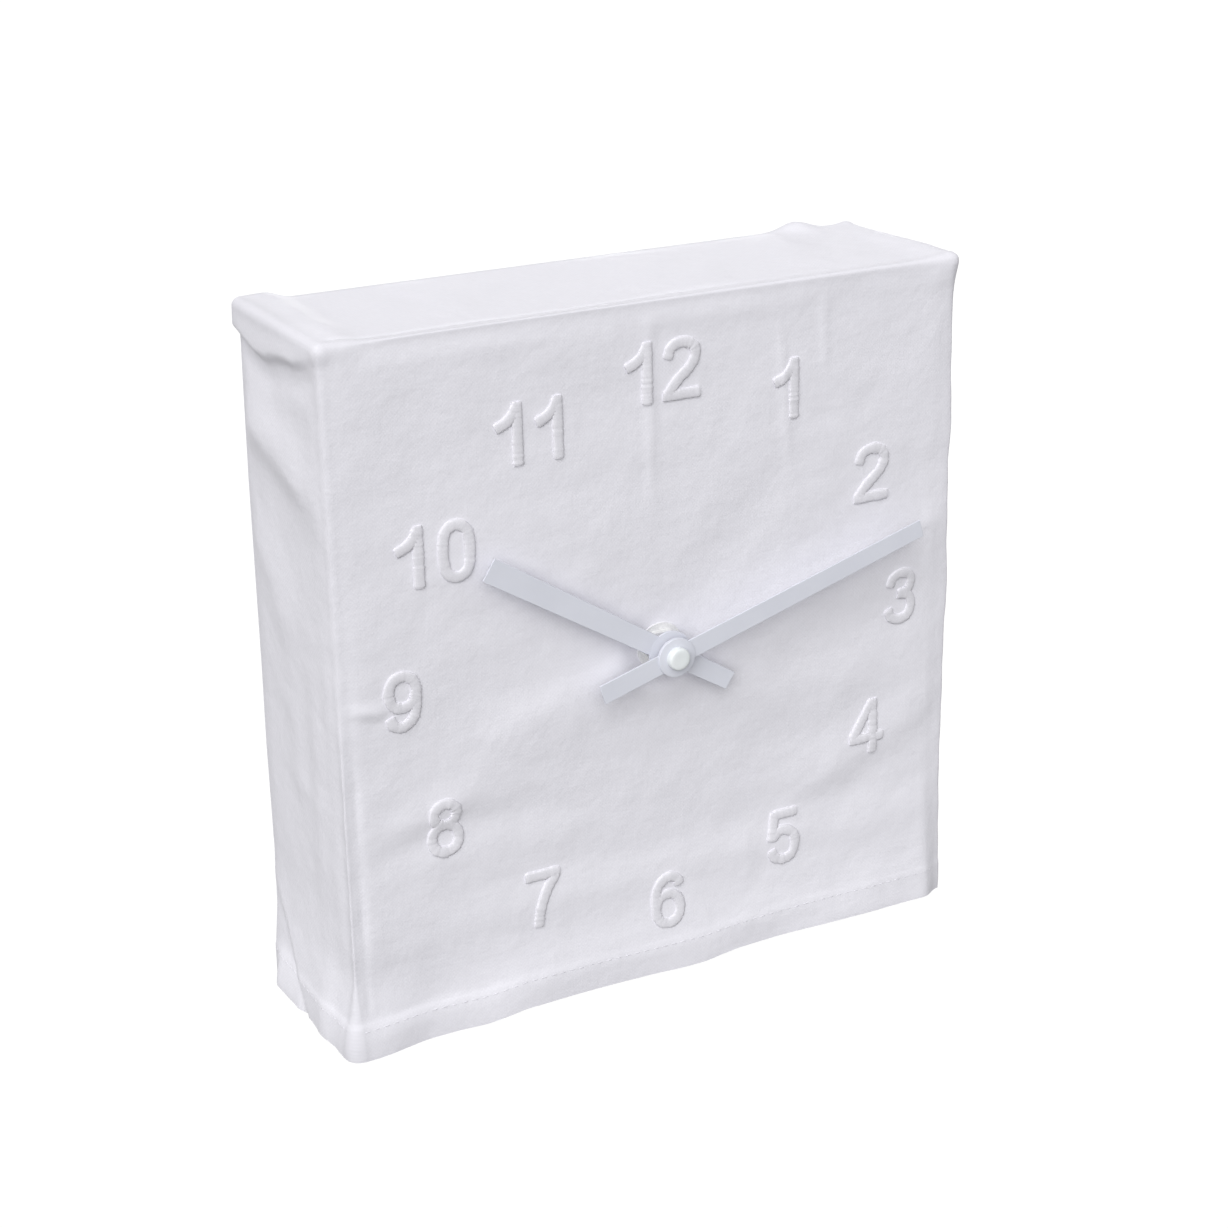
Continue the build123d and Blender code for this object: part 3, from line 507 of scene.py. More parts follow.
def panel_rise(at):
    """Slack and folds of each panel, fading into its edges."""
    sway = sum(height * np.sin(at.x / across + at.z / up + start) for height, across, up, start in SWAY)
    slack = SLACK + sway + at.crush
    shaft_fade = smooth_step(np.hypot(at.x, at.z - SHAFT_Z), *SHAFT_FADE)
    rise = np.where(at.top, (TOP_SLACK + at.crush + fold_field(at.x, at.t, TOP_FOLDS)) * at.side_fade * at.end_fade, 0)
    for panel, across, folds, hang, fade in (
            (at.front, at.x, FRONT_FOLDS, skirt(at.x, at.z), at.side_fade * shaft_fade),
            (at.left, at.t, LEFT_FOLDS, 0, at.end_fade), (at.right, at.t, RIGHT_FOLDS, 0, at.end_fade),
            (at.back, at.x, BACK_FOLDS, 0, at.side_fade)):
        height = np.maximum(slack + fold_field(across, at.z, folds) + hang, DEEPEST)
        rise += np.where(panel, height * fade * at.top_fade, 0)
    return rise


def seam_rise(at, turn):
    """Edges that stand up a little and pucker, the groove beside the left one, sunk seams, and filled corners."""
    pucker = PUCKER * np.sin(at.z / PUCKER_LENGTHS[0]) * np.sin(at.z / PUCKER_LENGTHS[1] + PUCKER_START)
    rise = LEFT_LIP * np.exp(-at.left_edge / np.where(at.front, *LEFT_LIP_REACHES))
    rise += mound(at.left_edge, pucker, LEFT_PUCKER_REACH) + mound(at.right_edge, RIGHT_LIP + pucker, RIGHT_LIP_REACH)
    rise += at.slack_side * mound(at.front_top, *FRONT_TOP_LIP)
    groove = (GROOVE + GROOVE_WAVE * np.sin(at.z / GROOVE_WAVE_LENGTH)) * swell(at.from_left, GROOVE_PLACE, GROOVE_HALF)
    rise -= np.where(at.front, groove * at.lower * smooth_step(at.z, HEM_TOP, HEM_TOP + GROOVE_GROWS), 0)
    sunk = swell(at.t, SEAM_BACK, SEAM_HALF)
    rise -= np.where(at.right & (at.below_top > SEAM_BACK), SIDE_SEAM * sunk, 0)
    taut = (1 - SLACK_TOP_SEAM * at.slack_side) * smooth_step(at.from_left, *TOP_SEAM_GROWS)
    rise -= np.where(at.top, TOP_SEAM * taut * sunk, 0)
    corner = np.sqrt(at.near_side ** 2 + at.near_end ** 2 + at.below_top ** 2)
    return rise + mound(corner, CORNER_FILL * (turn - CORNER_ROUND), CORNER_REACH)


def roll_rise(at):
    """Puffed rolls on the left and right of the top, the left one overhanging its panel, and the back right bump."""
    drop = np.interp(at.t, *LIP_DROP)
    lip = fall(at.from_left, *ROLL_WIDTH) * fall(at.below_top, drop - LIP_ABOVE, drop + LIP_BELOW)
    hollow = UNDERCUT * swell(at.below_top, drop + UNDERCUT_DROP, UNDERCUT_HALF) * at.end_fade
    bump = BACK_BUMP * swell(at.x, HALF_WIDTH - BACK_BUMP_INSET, BACK_BUMP_HALF)
    return (np.interp(at.t, *LEFT_ROLL) * lip - np.where(at.left, hollow, 0)
            + mound(at.right_roll, np.interp(at.t, *RIGHT_ROLL), RIGHT_ROLL_REACH)
            + bump * swell(at.from_back, 0, BACK_BUMP_REACH) * swell(at.below_top, 0, BACK_BUMP_REACH))


def hem_rise(at):
    """Folded hem, the flare of the lower edge, and the tuck and lobe that run up the left panel from it."""
    hem = (HEM_THICK + mound(at.left_edge, *HEM_LEFT)) * fall(at.z, HEM_TOP - HEM_STEP, HEM_TOP + HEM_STEP)
    foot = fall(at.z, LOW_Z, FOOT_TOP)
    wave = HEM_WAVE * np.sin(at.x / HEM_WAVE_LENGTH + HEM_WAVE_START) * at.side_fade
    flare = mound(at.left_edge, *FLARE) * fall(at.z, LOW_Z, FLARE_TOP)
    before_slope = TUCK_PLACE + TUCK_SLOPE * (at.z - LOW_Z) - at.t
    tuck = smooth_step(before_slope, -TUCK_HALF, TUCK_HALF) * smooth_step(at.t, *TUCK_GROWS) * fall(at.z, *TUCK_HEIGHTS)
    lobe = smooth_step(at.t, *LOBE_GROWS) * smooth_step(at.from_back, *LOBE_FADE) * foot
    return (hem + foot * np.where(at.front | at.back, wave, 0) + flare
            + np.where(at.left, np.maximum(TUCK_RISE * tuck, LOBE_RISE * lobe), 0))


def drape(points):
    """Moves points of the plain box of the cover (x, t, z) to where the cloth hangs."""
    at = cover_places(points)
    turn = edge_turn(at)
    core = np.stack([np.clip(at.x, turn - HALF_WIDTH, HALF_WIDTH - turn), np.clip(at.t, turn, DEPTH - turn),
                     np.minimum(at.z, TOP_Z - turn)], axis=1)
    outward = points - core
    outward /= np.linalg.norm(outward, axis=1)[:, None]
    rise = panel_rise(at) + seam_rise(at, turn) + roll_rise(at) + hem_rise(at)
    moved = core + outward * (turn + rise)[:, None]

    # Corners that are pulled or pushed out of square
    behind, high = at.t / DEPTH, (at.z - LOW_Z) / (TOP_Z - LOW_Z)
    to_left = 1 - at.from_left / (2 * HALF_WIDTH)
    moved[:, 0] += to_left * (FRONT_LEAN * (1 - behind) + behind * np.interp(at.z, *BACK_LEAN))
    moved[:, 0] += mound(at.right_edge, np.interp(at.z, *RIGHT_BOW), RIGHT_BOW_REACH)
    moved[:, 2] += high * to_left * LEFT_RAISE * (1 + behind)
    moved[:, 2] += np.interp(at.x, *HEM_LIFT) * fall(at.z, LOW_Z, HEM_LIFT_TOP)
    return moved


# Rows and columns of the cloth crowd where it turns over an edge, is sewn or hemmed: (index, place) knots
COLUMNS, DEPTH_ROWS, ROWS = 164, 52, 172
EDGE_STRIP, SEAM_STRIP = 0.7, 0.4
COLUMN_KNOTS = ((0, -HALF_WIDTH), (3, EDGE_STRIP - HALF_WIDTH), (10, 6 - HALF_WIDTH), (COLUMNS - 10, HALF_WIDTH - 6),
                (COLUMNS - 3, HALF_WIDTH - EDGE_STRIP), (COLUMNS, HALF_WIDTH))
DEPTH_KNOTS = ((0, 0), (3, EDGE_STRIP), (6, SEAM_BACK - SEAM_STRIP), (7, SEAM_BACK), (8, SEAM_BACK + SEAM_STRIP),
               (DEPTH_ROWS - 8, DEPTH - 4), (DEPTH_ROWS - 3, DEPTH - EDGE_STRIP), (DEPTH_ROWS, DEPTH))
ROW_KNOTS = ((0, LOW_Z), (14, HEM_TOP + HEM_STEP), (ROWS - 24, TOP_Z - 17), (ROWS - 10, TOP_Z - 6),
             (ROWS - 3, TOP_Z - EDGE_STRIP), (ROWS, TOP_Z))
# Reach in millimetres of the painted shade along the case's edges
EDGE_SHADE_REACH = 2.0


def window_outline(points):
    """Nearest points on the rounded square of the back window, and which points lie inside it."""
    half = WINDOW_SIDE / 2 - WINDOW_ROUND
    core = np.clip(points, -half, half)
    reach = points - core
    gap = np.linalg.norm(reach, axis=1)
    return core + reach / np.maximum(gap, 1e-6)[:, None] * WINDOW_ROUND, gap < WINDOW_ROUND


def seam_wear(points):
    """How much painted shade darkens the cloth at points of the plain box: most along its edges, to dim the light they
    catch.
    """
    x, t, z = points.T
    from_side, from_end, below_top = HALF_WIDTH - abs(x), np.minimum(t, DEPTH - t), TOP_Z - z
    nearest = np.minimum(np.hypot(from_side, from_end), np.hypot(np.minimum(from_side, from_end), below_top))
    return swell(nearest, 0, EDGE_SHADE_REACH)


def slipcover():
    """Whole cover as one sheet over the case, open below and at the back window."""
    bm = bmesh.new()
    bmesh.ops.create_cube(bm, size=1.0)
    bmesh.ops.translate(bm, verts=bm.verts, vec=(0.5, 0.5, 0.5))
    bmesh.ops.delete(bm, geom=[face for face in bm.faces if face.normal.z < -0.5], context="FACES")
    for axis, steps in enumerate((COLUMNS, DEPTH_ROWS, ROWS)):
        along = [edge for edge in bm.edges if abs(edge.verts[0].co[axis] - edge.verts[1].co[axis]) > 0.5]
        bmesh.ops.subdivide_edges(bm, edges=along, cuts=steps - 1, use_grid_fill=True)
    for vert in bm.verts:
        for axis, knots in enumerate((COLUMN_KNOTS, DEPTH_KNOTS, ROW_KNOTS)):
            indices, places = zip(*knots)
            vert.co[axis] = np.interp(vert.co[axis] * indices[-1], indices, places)
    backs = [face for face in bm.faces if face.normal.y > 0.5]
    middles = np.array([face.calc_center_median() for face in backs])
    inside = window_outline(np.stack([middles[:, 0], middles[:, 2] - SHAFT_Z], axis=1))[1]
    bmesh.ops.delete(bm, geom=[face for face, cut in zip(backs, inside) if cut], context="FACES")
    rim = [vert for vert in bm.verts if vert.is_boundary and vert.co.z > LOW_Z + 1]
    snapped = window_outline(np.array([(vert.co.x, vert.co.z - SHAFT_Z) for vert in rim]))[0]
    for vert, (across, up) in zip(rim, snapped):
        vert.co.x, vert.co.z = across, up + SHAFT_Z
    uv_layer = bm.loops.layers.uv.new("cloth")
    bm.normal_update()
    for face in bm.faces:
        flat = max(range(3), key=lambda axis: abs(face.normal[axis]))
        first, second = [axis for axis in range(3) if axis != flat]
        for loop in face.loops:
            loop[uv_layer].uv = (loop.vert.co[first] * MM, loop.vert.co[second] * MM)
    bmesh.ops.recalc_face_normals(bm, faces=bm.faces)
    mesh = bpy.data.meshes.new("slipcover")
    bm.to_mesh(mesh)
    bm.free()
    flat_points = np.array([vert.co for vert in mesh.vertices])
    mesh.vertices.foreach_set("co", to_frame(drape(flat_points)).ravel())
    # Painted shade along the case's edges, kept on the cloth for its material
    mesh.attributes.new("seam_wear", "FLOAT", "POINT").data.foreach_set("value", seam_wear(flat_points))
    mesh.update()
    return place_piece("slipcover", mesh, "clock", "cotton")


def to_frame(points):
    """From the cloth's millimetres to the frame's metres."""
    placed = points * MM
    placed[:, 1] += FRONT_Y
    return placed


cover = slipcover()
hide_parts("cover_front", "cover_top", "cover_left", "cover_right", "cover_back")


# Sewn lines: small stitches of thread along a line of the plain cover
STITCH_LENGTH = 2.1
STITCH_GAP = 0.9
STITCH_THICK = 0.26
FIRST_STITCH = 0.5
HEM_STITCH_Z = HEM_TOP - 1.6
HEM_SAMPLES = 60


def stitch_line(bm, line):
    """Row of stitches along points of the plain box, lying on the draped cloth."""
    lengths = np.concatenate([[0], np.cumsum(np.linalg.norm(np.diff(line, axis=0), axis=1))])
    starts = np.arange(FIRST_STITCH, lengths[-1] - STITCH_LENGTH, STITCH_LENGTH + STITCH_GAP)
    ends = [np.stack([np.interp(starts + extra, lengths, line[:, axis]) for axis in range(3)], axis=1)
            for extra in (0.0, STITCH_LENGTH)]
    heads, tails = (to_frame(drape(end)) for end in ends)
    for head, tail in zip(heads, tails):
        head, tail = Vector(head), Vector(tail)
        turn = (tail - head).to_track_quat("X", "Z").to_matrix().to_4x4()
        size = Matrix.Diagonal(((tail - head).length / 2, STITCH_THICK / 2 * MM, STITCH_THICK / 2 * MM, 1))
        bmesh.ops.create_uvsphere(bm, u_segments=6, v_segments=5, radius=1.0,
                                  matrix=Matrix.Translation((head + tail) / 2) @ turn @ size)


def hem_stitches():
    """Line that holds the folded hem, all round the cover."""
    corners = np.array([(side * HALF_WIDTH, back * DEPTH, HEM_STITCH_Z)
                        for side, back in ((-1, 0), (1, 0), (1, 1), (-1, 1), (-1, 0))])
    bm = bmesh.new()
    for start, end in zip(corners, corners[1:]):
        stitch_line(bm, np.linspace(start, end, HEM_SAMPLES))
    return place_piece("hem_stitches", mesh_from(bm, "hem_stitches", 80.0), "clock", "cotton", THREAD)


# Swept bands: a half-round section run along a flat path, for the window hem, the embroidery and mouldings
SECTION_POINTS = 9
QUARTER_POINTS = 9
HEM_BAND = (2.3, 0.9)
HEM_BAND_OUT = 1.6
HEM_BAND_SINK = 0.1


def half_round(name, half_width, height, fullness=1.0):
    """Profile curve: flat below, rounded above; the fuller, the flatter its top."""
    profile = bpy.data.curves.new(name, "CURVE")
    profile.dimensions = "2D"
    spline = profile.splines.new("POLY")
    spline.points.add(SECTION_POINTS - 1)
    for index, point in enumerate(spline.points):
        turn = math.pi * index / (SECTION_POINTS - 1)
        point.co = (half_width * math.cos(turn) * MM, height * abs(math.sin(turn)) ** (1 / fullness) * MM, 0, 1)
    spline.use_cyclic_u = True
    return bpy.data.objects.new(name, profile)


def sweep(path, radii, closed, profile):
    """Mesh of the profile run along a path in the XY plane, thicker or thinner by the radii."""
    curve = bpy.data.curves.new("sweep", "CURVE")
    curve.dimensions = "2D"
    curve.fill_mode = "NONE"
    curve.bevel_mode = "OBJECT"
    curve.bevel_object = profile
    curve.use_fill_caps = not closed
    spline = curve.splines.new("POLY")
    spline.points.add(len(path) - 1)
    for point, place, radius in zip(spline.points, path, radii):
        point.co = (place[0] * MM, place[1] * MM, 0, 1)
        point.radius = radius
    spline.use_cyclic_u = closed
    holder = bpy.data.objects.new("sweep", curve)
    bpy.context.collection.objects.link(holder)
    mesh = bpy.data.meshes.new_from_object(holder.evaluated_get(bpy.context.evaluated_depsgraph_get()))
    bpy.data.objects.remove(holder)
    return mesh


def arc(middle, radius, first, last, steps):
    """Points along part of a circle, between two angles in degrees."""
    return [(middle[0] + radius * math.cos(turn), middle[1] + radius * math.sin(turn))
            for turn in np.radians(np.linspace(first, last, steps))]


def rounded_box(half, low, high, radius, steps):
    """Points round a box whose corner arcs are centred `half` to the left and right, at `low` and `high`."""
    middles = ((half, high), (-half, high), (-half, low), (half, low))
    return [point for quarter, middle in enumerate(middles)
            for point in arc(middle, radius, 90 * quarter, 90 * quarter + 90, steps)]


def window_hem():
    """Rolled hem round the back window, on the outside of the cloth."""
    half = WINDOW_SIDE / 2 - WINDOW_ROUND
    path = rounded_box(half, -half, half, WINDOW_ROUND + HEM_BAND_OUT, QUARTER_POINTS)
    mesh = sweep(path, [1.0] * len(path), True, half_round("hem_section", *HEM_BAND))
    rest = np.array([vert.co for vert in mesh.vertices]) / MM
    flat_points = np.stack([rest[:, 0], np.full(len(rest), DEPTH), rest[:, 1] + SHAFT_Z], axis=1)
    placed = drape(flat_points)
    placed[:, 1] += rest[:, 2] - HEM_BAND_SINK
    mesh.vertices.foreach_set("co", to_frame(placed).ravel())
    mesh.flip_normals()
    mesh.uv_layers.new(name="cloth")
    for loop, uv in zip(mesh.loops, mesh.uv_layers["cloth"].data):
        corner = mesh.vertices[loop.vertex_index].co
        uv.uv = (corner.x, corner.z)
    return place_piece("window_hem", mesh, "clock", "cotton")


hem_thread = hem_stitches()
window_band = window_hem()


# Embroidered numerals: padded satin stitch along each stroke's middle line, in millimetres from the middle
# of the digit
NUMERAL_RING = 78.35
NUMERAL_MIDDLE = (0.94, 102.04)
STROKE_HALF = 1.65
STROKE_HEIGHT = 0.75
STROKE_FULLNESS = 2.2
STROKE_SINK = 0.08
SATIN_PITCH = 0.8
STITCH_RADII = (0.9, 1.0)
STITCH_JITTER = (0.92, 1.08)
CURVE_STEPS = 24
STROKE_ENDS = (0.75, 0.93)
DIGIT_STEP = 13.0
ONES_STEP = 11.8
DIGIT_STROKES = {
    "0": [("loop", (0, 7.2), (3.0, 5.4), (3.8, 0), (3.0, -5.4), (0, -7.2), (-3.0, -5.4), (-3.8, 0), (-3.0, 5.4))],
    "1": [("line", (2.4, 8.6), (2.4, -8.6)), ("curve", (2.4, 7.6), (1.0, 5.0), (-1.2, 3.2), (-4.0, 2.0))],
    "2": [("curve", (-4.3, 3.0), (-3.3, 6.0), (0.1, 7.2), (3.4, 6.0), (4.1, 3.4), (2.6, 0.4), (-1.4, -3.2),
           (-4.5, -6.8)), ("line", (-5.9, -7.1), (5.6, -7.1))],
    "3": [("curve", (-3.9, 3.4), (-2.9, 6.2), (0, 7.2), (2.9, 6.2), (3.5, 3.8), (2.4, 1.4), (-0.9, 0.7)),
          ("curve", (-0.9, 0.7), (2.7, 0.0), (4.0, -3.0), (2.9, -6.1), (0, -7.2), (-3.0, -6.1), (-4.1, -3.4))],
    "4": [("line", (2.0, 8.2), (-5.2, -3.1)), ("line", (-6.2, -3.3), (5.6, -3.3)), ("line", (1.9, 8.6), (1.9, -8.6))],
    "5": [("line", (4.8, 7.1), (-2.9, 7.1)), ("line", (-2.5, 8.0), (-4.0, -0.9)),
          ("curve", (-3.9, -0.4), (-2.0, 1.6), (0.4, 2.0), (3.2, 0.6), (4.0, -2.6), (2.9, -6.0), (0, -7.2),
           (-3.0, -6.2), (-4.1, -3.6))],
    "6": [("loop", (0.1, 1.8), (2.9, 0.6), (4.0, -2.7), (2.9, -6.0), (0.1, -7.2), (-2.8, -6.0), (-3.9, -2.7),
           (-2.8, 0.6)), ("curve", (-3.9, -2.4), (-3.8, 1.6), (-2.8, 5.2), (0.2, 7.2), (3.0, 6.2), (3.9, 3.9))],
    "7": [("line", (-5.4, 7.1), (5.4, 7.1)), ("curve", (4.4, 6.6), (1.2, 2.4), (-1.0, -2.8), (-1.9, -8.6))],
    "8": [("loop", (0, 7.2), (2.5, 6.2), (3.4, 3.9), (2.4, 1.6), (0, 0.7), (-2.4, 1.6), (-3.4, 3.9), (-2.5, 6.2)),
          ("loop", (0, 0.7), (2.9, -0.4), (4.0, -3.2), (2.9, -6.1), (0, -7.2), (-2.9, -6.1), (-4.0, -3.2),
           (-2.9, -0.4))],
}
DIGIT_STROKES["9"] = [(kind, *((-across, -up) for across, up in points)) for kind, *points in DIGIT_STROKES["6"]]


def stroke_path(kind, points):
    """Even steps of half a stitch along a straight or smooth stroke."""
    points = np.array(points, float)
    if kind == "loop":
        around = np.concatenate([points[-1:], points, points[:2]])
    else:
        around = np.concatenate([2 * points[:1] - points[1:2], points, 2 * points[-1:] - points[-2:-1]])
    fine = []
    for before, start, end, after in zip(around, around[1:], around[2:], around[3:]):
        square, cube = 2 * before - 5 * start + 4 * end - after, 3 * start - before - 3 * end + after
        for share in np.linspace(0, 1, CURVE_STEPS, endpoint=False):
            fine.append(0.5 * (2 * start + (end - before) * share + square * share ** 2 + cube * share ** 3))
    fine.append(around[-2])
    fine = np.array(fine)
    lengths = np.concatenate([[0], np.cumsum(np.linalg.norm(np.diff(fine, axis=0), axis=1))])
    count = 2 * round(lengths[-1] / SATIN_PITCH)
    stops = np.linspace(0, lengths[-1], count, endpoint=kind != "loop")
    return np.stack([np.interp(stops, lengths, fine[:, axis]) for axis in range(2)], axis=1)


def numeral(text, hour, profile, jitter):
    """One embroidered number in its place on the ring, its strokes laid on the draped cloth."""
    step = ONES_STEP if text == "11" else DIGIT_STEP
    turn = math.radians(30 * hour)
    middle = (NUMERAL_MIDDLE[0] + NUMERAL_RING * math.sin(turn), NUMERAL_MIDDLE[1] + NUMERAL_RING * math.cos(turn))
    bm = bmesh.new()
    for index, digit in enumerate(text):
        shift = (index - (len(text) - 1) / 2) * step
        for kind, *points in DIGIT_STROKES[digit]:
            path = stroke_path(kind, points)
            path[:, 0] += shift
            radii = [STITCH_RADII[stop % 2] * jitter.uniform(*STITCH_JITTER) for stop in range(len(path))]
            if kind != "loop":
                radii[:2] = STROKE_ENDS
                radii[-2:] = reversed(STROKE_ENDS)
            bm.from_mesh(sweep(path, radii, kind == "loop", profile))
    mesh = mesh_from(bm, "numeral_" + text, 60.0)
    rest = np.array([vert.co for vert in mesh.vertices]) / MM
    across, up = rest[:, 0] + middle[0], rest[:, 1] + middle[1]
    cloth = drape(np.stack([across, np.zeros(len(rest)), up], axis=1))[:, 1]
    placed = np.stack([across, cloth - rest[:, 2] + STROKE_SINK, up], axis=1)
    mesh.vertices.foreach_set("co", to_frame(placed).ravel())
    mesh.update()
    place_piece("numeral_" + text, mesh, "clock", "cotton", THREAD)


satin_section = half_round("satin_section", STROKE_HALF, STROKE_HEIGHT, STROKE_FULLNESS)
stitch_jitter = random.Random(12)
for hour in range(1, 13):
    numeral(str(hour), hour, satin_section, stitch_jitter)


# Hands and cap: pieces square to the shaft, built with the shaft along Z and then turned to face the front
HAND_BEVEL = 0.14 * MM
TURNED_STEPS = 72
RIM_ANGLE = 1.0
BLADE_ROOT = 0.6
HUB_BELOW, HUB_ABOVE = 0.02 * MM, 0.03 * MM
COLLET_RADIUS = 3.8 * MM
CAP_BORE, CAP_BORE_DEPTH = 1.32 * MM, 1.3 * MM
CAP_EASE, CAP_EASE_MIDDLE = 0.6 * MM, 0.18 * MM
CAP_DISH_HALFWAY, CAP_DISH = 0.05 * MM, 0.08 * MM


def face_front(bm, out):
    """Turns a piece built along Z to stand `out` metres in front of the cloth, square to the shaft."""
    turned = Matrix.Translation((0, FRONT_Y - out, SHAFT_Z * MM)) @ Matrix.Rotation(math.pi / 2, 4, "X")
    bmesh.ops.transform(bm, matrix=turned, verts=bm.verts)


def turn_profile(bm, profile, closed):
    """Spins a line through (radius, height) points round the Z axis."""
    points = [bm.verts.new((radius, 0, height)) for radius, height in profile]
    edges = [bm.edges.new(pair) for pair in zip(points, points[1:] + points[:closed])]
    bmesh.ops.spin(bm, geom=points + edges, cent=(0, 0, 0), axis=(0, 0, 1), angle=2 * math.pi, steps=TURNED_STEPS,
                   use_merge=True)


def ring(bm, inner, outer, low, high):
    """Turned ring between two radii and two heights, with its outer edges eased."""
    turn_profile(bm, ((inner, low), (outer, low), (outer, high), (inner, high)), True)
    rims = [edge for edge in bm.edges if edge.is_manifold and edge.calc_face_angle() > RIM_ANGLE
            and all(abs(vert.co.xy.length - outer) < 1e-6 for vert in edge.verts)]
    bmesh.ops.bevel(bm, geom=rims, offset=HAND_BEVEL, offset_type="OFFSET", segments=3, profile=0.5, affect="EDGES",
                    material=-1)


def bar(bm, stations, pointing, low, high):
    """Flat bar through (distance, width) stations along a direction from the shaft, with its edges eased."""
    along = Vector((math.sin(pointing), math.cos(pointing), 0))
    beside = Vector((along.y, -along.x, 0))
    (start, start_width), (end, end_width) = stations
    corners = [along * start - beside * start_width / 2, along * start + beside * start_width / 2,
               along * end + beside * end_width / 2, along * end - beside * end_width / 2]
    base = bm.faces.new([bm.verts.new((corner.x, corner.y, low)) for corner in corners])
    grown = bmesh.ops.extrude_face_region(bm, geom=[base])["geom"]
    lifted = [part for part in grown if isinstance(part, bmesh.types.BMVert)]
    bmesh.ops.translate(bm, verts=lifted, vec=(0, 0, high - low))
    edges = dict.fromkeys(edge for vert in list(base.verts) + lifted for edge in vert.link_edges)
    bmesh.ops.bevel(bm, geom=list(edges), offset=HAND_BEVEL, offset_type="OFFSET", segments=2, profile=0.5,
                    affect="EDGES", material=-1)


def hand(name, body, pointing, tip, tail, tip_width, tail_width, hub, bore, sheet, boss):
    """Painted sheet hand: hub ring, blade and tail; the boss is the part of the hub above the sheet."""
    low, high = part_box(name)
    back_out, front_out = FRONT_Y - high.y, FRONT_Y - low.y
    sheet_high = front_out - back_out - boss
    sheet_low = sheet_high - sheet
    root = bore + BLADE_ROOT * (hub - bore)
    width_step = (tip_width - tail_width) / (tip + tail)
    bm = bmesh.new()
    ring(bm, bore, hub, sheet_low - HUB_BELOW, sheet_high + boss + HUB_ABOVE)
    bar(bm, ((root, tail_width + width_step * (tail + root)), (tip, tip_width)), pointing, sheet_low, sheet_high)
    bar(bm, ((root, tail_width + width_step * (tail - root)), (tail, tail_width)), pointing + math.pi, sheet_low,
        sheet_high)
    if sheet_low > 1e-6:
        ring(bm, bore, COLLET_RADIUS, 0, sheet_low)
    face_front(bm, back_out)
    piece = place_piece(name + "_painted", mesh_from(bm, name + "_painted", 20.0), body, "hand_paint")
    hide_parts(name)


def hub_cap():
    """Closed cap nut: a turned cap with an eased crown and a slightly dished face."""
    low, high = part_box("hand_nut")
    radius, height = (high.x - low.x) / 2, high.y - low.y
    bm = bmesh.new()
    turn_profile(bm, ((0, CAP_BORE_DEPTH), (CAP_BORE, CAP_BORE_DEPTH), (CAP_BORE, 0), (radius, 0),
                      (radius, height - CAP_EASE), (radius - CAP_EASE_MIDDLE, height - CAP_EASE_MIDDLE),
                      (radius - CAP_EASE, height), (radius / 2, height - CAP_DISH_HALFWAY), (0, height - CAP_DISH)),
                 False)
    bmesh.ops.remove_doubles(bm, verts=bm.verts, dist=1e-7)
    face_front(bm, FRONT_Y - high.y)
    piece = place_piece("hub_cap", mesh_from(bm, "hub_cap", 50.0), "minute_arbor", "cap_paint")
    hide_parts("hand_nut")


hand("hour_hand", "hour_wheel", math.radians(302.5), tip=63.6 * MM, tail=22.8 * MM, tip_width=6.8 * MM,
     tail_width=5.4 * MM, hub=6.4 * MM, bore=2.52 * MM, sheet=0.6 * MM, boss=0.0)
hand("minute_hand", "minute_arbor", math.radians(73.9), tip=83.6 * MM, tail=23.8 * MM, tip_width=5.2 * MM,
     tail_width=5.8 * MM, hub=5.6 * MM, bore=1.32 * MM, sheet=0.6 * MM, boss=0.5 * MM)
hub_cap()


# Rear cover of the movement: raised border, ring and arrow round the knob, vents and latches
MOULDING_INSET = 2.4
MOULDING_SINK = 0.05 * MM
BORDER_ROUND = 2.0
KNOB_RING, KNOB_RING_TURNS = 8.7, (0.0, 350.0)
ARROW_RING, ARROW_TURNS = 10.6, (205.0, 330.0)
BARB_TURN, BARB_SPREAD = 12.0, 2.0
VENTS, VENT_ENDS, VENT_PITCH, VENT_DROP = 5, (-22.0, -8.0), 2.4, 2.0
LATCHES, LATCH_HALF, LATCH_DROP = (-15.0, 15.0), 3.0, 1.6


def cover_mouldings():
    """All raised lines of the rear cover as one piece, in millimetres across and up from the shaft."""
    cover_low, cover_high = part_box("movement_cover")
    knob_low, knob_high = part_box("set_knob")
    half, low, high = cover_high.x / MM, cover_low.z / MM - SHAFT_Z, cover_high.z / MM - SHAFT_Z
    knob = ((knob_low.x + knob_high.x) / 2 / MM, (knob_low.z + knob_high.z) / 2 / MM - SHAFT_Z)
    inset = MOULDING_INSET + BORDER_ROUND
    border = rounded_box(half - inset, low + inset, high - inset, BORDER_ROUND, 6)
    arrow = arc(knob, ARROW_RING, *ARROW_TURNS, 30)
    barb_turn = ARROW_TURNS[1] - BARB_TURN
    vent_ups = [high - inset - VENT_DROP - VENT_PITCH * row for row in range(VENTS)]
    thin = half_round("moulded_line", 0.5, 0.4, 1.5)
    wide = half_round("moulded_band", 0.8, 0.5, 2.0)
    latch = half_round("moulded_latch", 1.5, 0.9, 2.5)
    strokes = [(border, True, wide), (arc(knob, KNOB_RING, *KNOB_RING_TURNS, 48), True, wide), (arrow, False, thin)]
    strokes += [((*arc(knob, ARROW_RING + off, barb_turn, barb_turn, 1), arrow[-1]), False, thin)
                for off in (-BARB_SPREAD, BARB_SPREAD)]
    strokes += [([(across, up) for across in VENT_ENDS], False, thin) for up in vent_ups]
    strokes += [([(middle + side * LATCH_HALF, high - LATCH_DROP) for side in (-1, 1)], False, latch)
                for middle in LATCHES]
    bm = bmesh.new()
    for path, closed, profile in strokes:
        bm.from_mesh(sweep(path, [1.0] * len(path), closed, profile))
    for vert in bm.verts:
        across, up, out = vert.co
        vert.co = (across, cover_high.y + out - MOULDING_SINK, up + SHAFT_Z * MM)
    place_piece("cover_mouldings", mesh_from(bm, "cover_mouldings", 50.0), "clock", "black_plastic")


cover_mouldings()


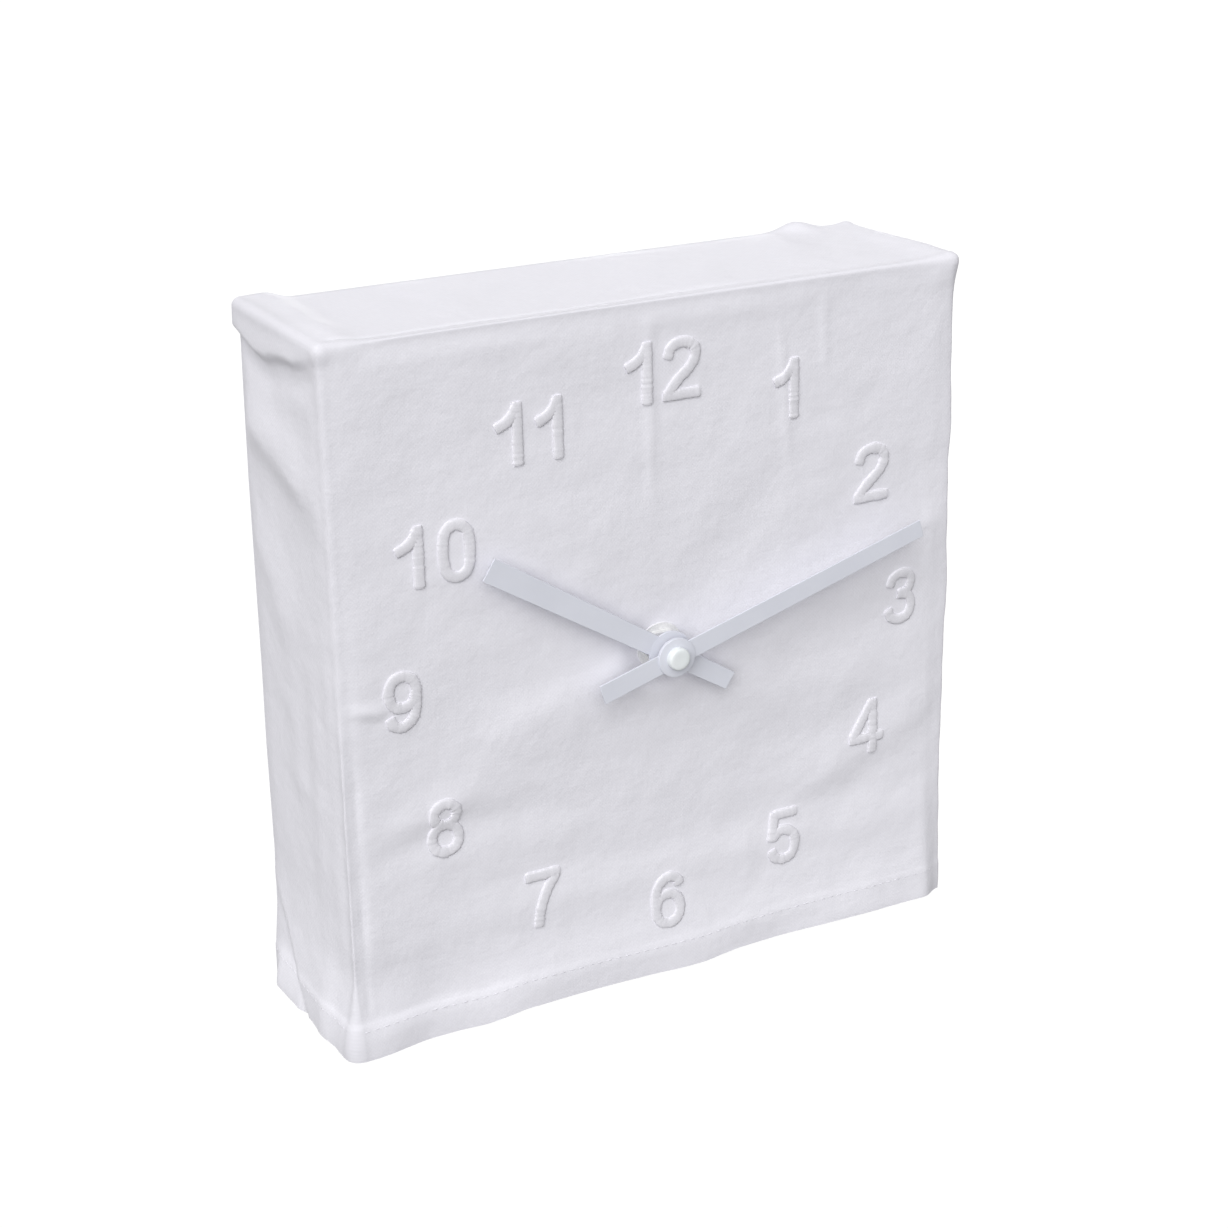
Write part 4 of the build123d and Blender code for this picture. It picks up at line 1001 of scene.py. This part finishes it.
# Studio: white floor, soft light from the upper left in front and a low one from behind, and the camera where the
# photograph was taken
STUDIO_HALF = 4.0
CARD_DROP = 2 * MM
WHITE = (1.0, 1.0, 1.0, 1.0)
ROOM_LIGHT = 0.5


def studio_plane(name, height, grey, glow):
    """Wide level plane of the studio that glows by itself."""
    bm = bmesh.new()
    bmesh.ops.create_grid(bm, x_segments=2, y_segments=2, size=STUDIO_HALF)
    bmesh.ops.translate(bm, verts=bm.verts, vec=(0, 0, height))
    mesh = bpy.data.meshes.new(name)
    bm.to_mesh(mesh)
    bm.free()
    plane = bpy.data.objects.new(name, mesh)
    bpy.context.collection.objects.link(plane)
    material, _, shader = new_finish(name, (grey, grey, grey), 0.9, Emission_Strength=glow)
    shader.inputs["Emission Color"].default_value = WHITE
    mesh.materials.append(material)
    return plane


def soft_light(name, from_place, spread, strength):
    """Even light from far off in that direction, as soft as its spread in degrees."""
    light = bpy.data.lights.new(name, "SUN")
    light.angle = math.radians(spread)
    light.energy = strength
    holder = bpy.data.objects.new(name, light)
    holder.location = from_place
    holder.rotation_euler = Vector(from_place).to_track_quat("Z", "Y").to_euler()
    bpy.context.collection.objects.link(holder)


CAMERA_AZIMUTH = math.radians(-27.66)
CAMERA_ELEVATION = math.radians(21.06)
CAMERA_ROLL = math.radians(-1.01)
CAMERA_PLACE = (-0.2992, -0.5660, 0.3508)
CAMERA_LENS, CAMERA_SENSOR = 70.84, 36.0
CAMERA_NEAR = 0.01


def photo_camera():
    """Camera placed and turned as a perspective fit to the case's corners gives it."""
    lens = bpy.data.cameras.new("photo_camera")
    lens.lens = CAMERA_LENS
    lens.sensor_width = CAMERA_SENSOR
    lens.clip_start = CAMERA_NEAR
    camera = bpy.data.objects.new("photo_camera", lens)
    camera.matrix_world = (Matrix.Translation(CAMERA_PLACE) @ Matrix.Rotation(CAMERA_AZIMUTH, 4, "Z")
                           @ Matrix.Rotation(math.pi / 2 - CAMERA_ELEVATION, 4, "X")
                           @ Matrix.Rotation(CAMERA_ROLL, 4, "Z"))
    bpy.context.collection.objects.link(camera)
    bpy.context.scene.camera = camera


# The floor looks white, but a dark card under it keeps its light off the clock
studio_plane("studio_floor", 0.0, 0.02, 1.0).visible_diffuse = False
studio_plane("dark_card", -CARD_DROP, 0.13, 0.0).visible_camera = False
soft_light("key_light", (-0.85, -1.0, 0.84), spread=60.0, strength=2.6)
soft_light("top_light", (-0.6, -0.05, 1.5), spread=50.0, strength=0.24)
soft_light("back_light", (0.5, 1.0, 0.0), spread=6.0, strength=1.6)
world = bpy.data.worlds.new("studio")
world.use_nodes = True
world.node_tree.nodes["Background"].inputs["Color"].default_value = WHITE
world.node_tree.nodes["Background"].inputs["Strength"].default_value = ROOM_LIGHT
bpy.context.scene.world = world
bpy.context.scene.view_settings.view_transform = "Standard"
photo_camera()

bpy.context.view_layer.update()
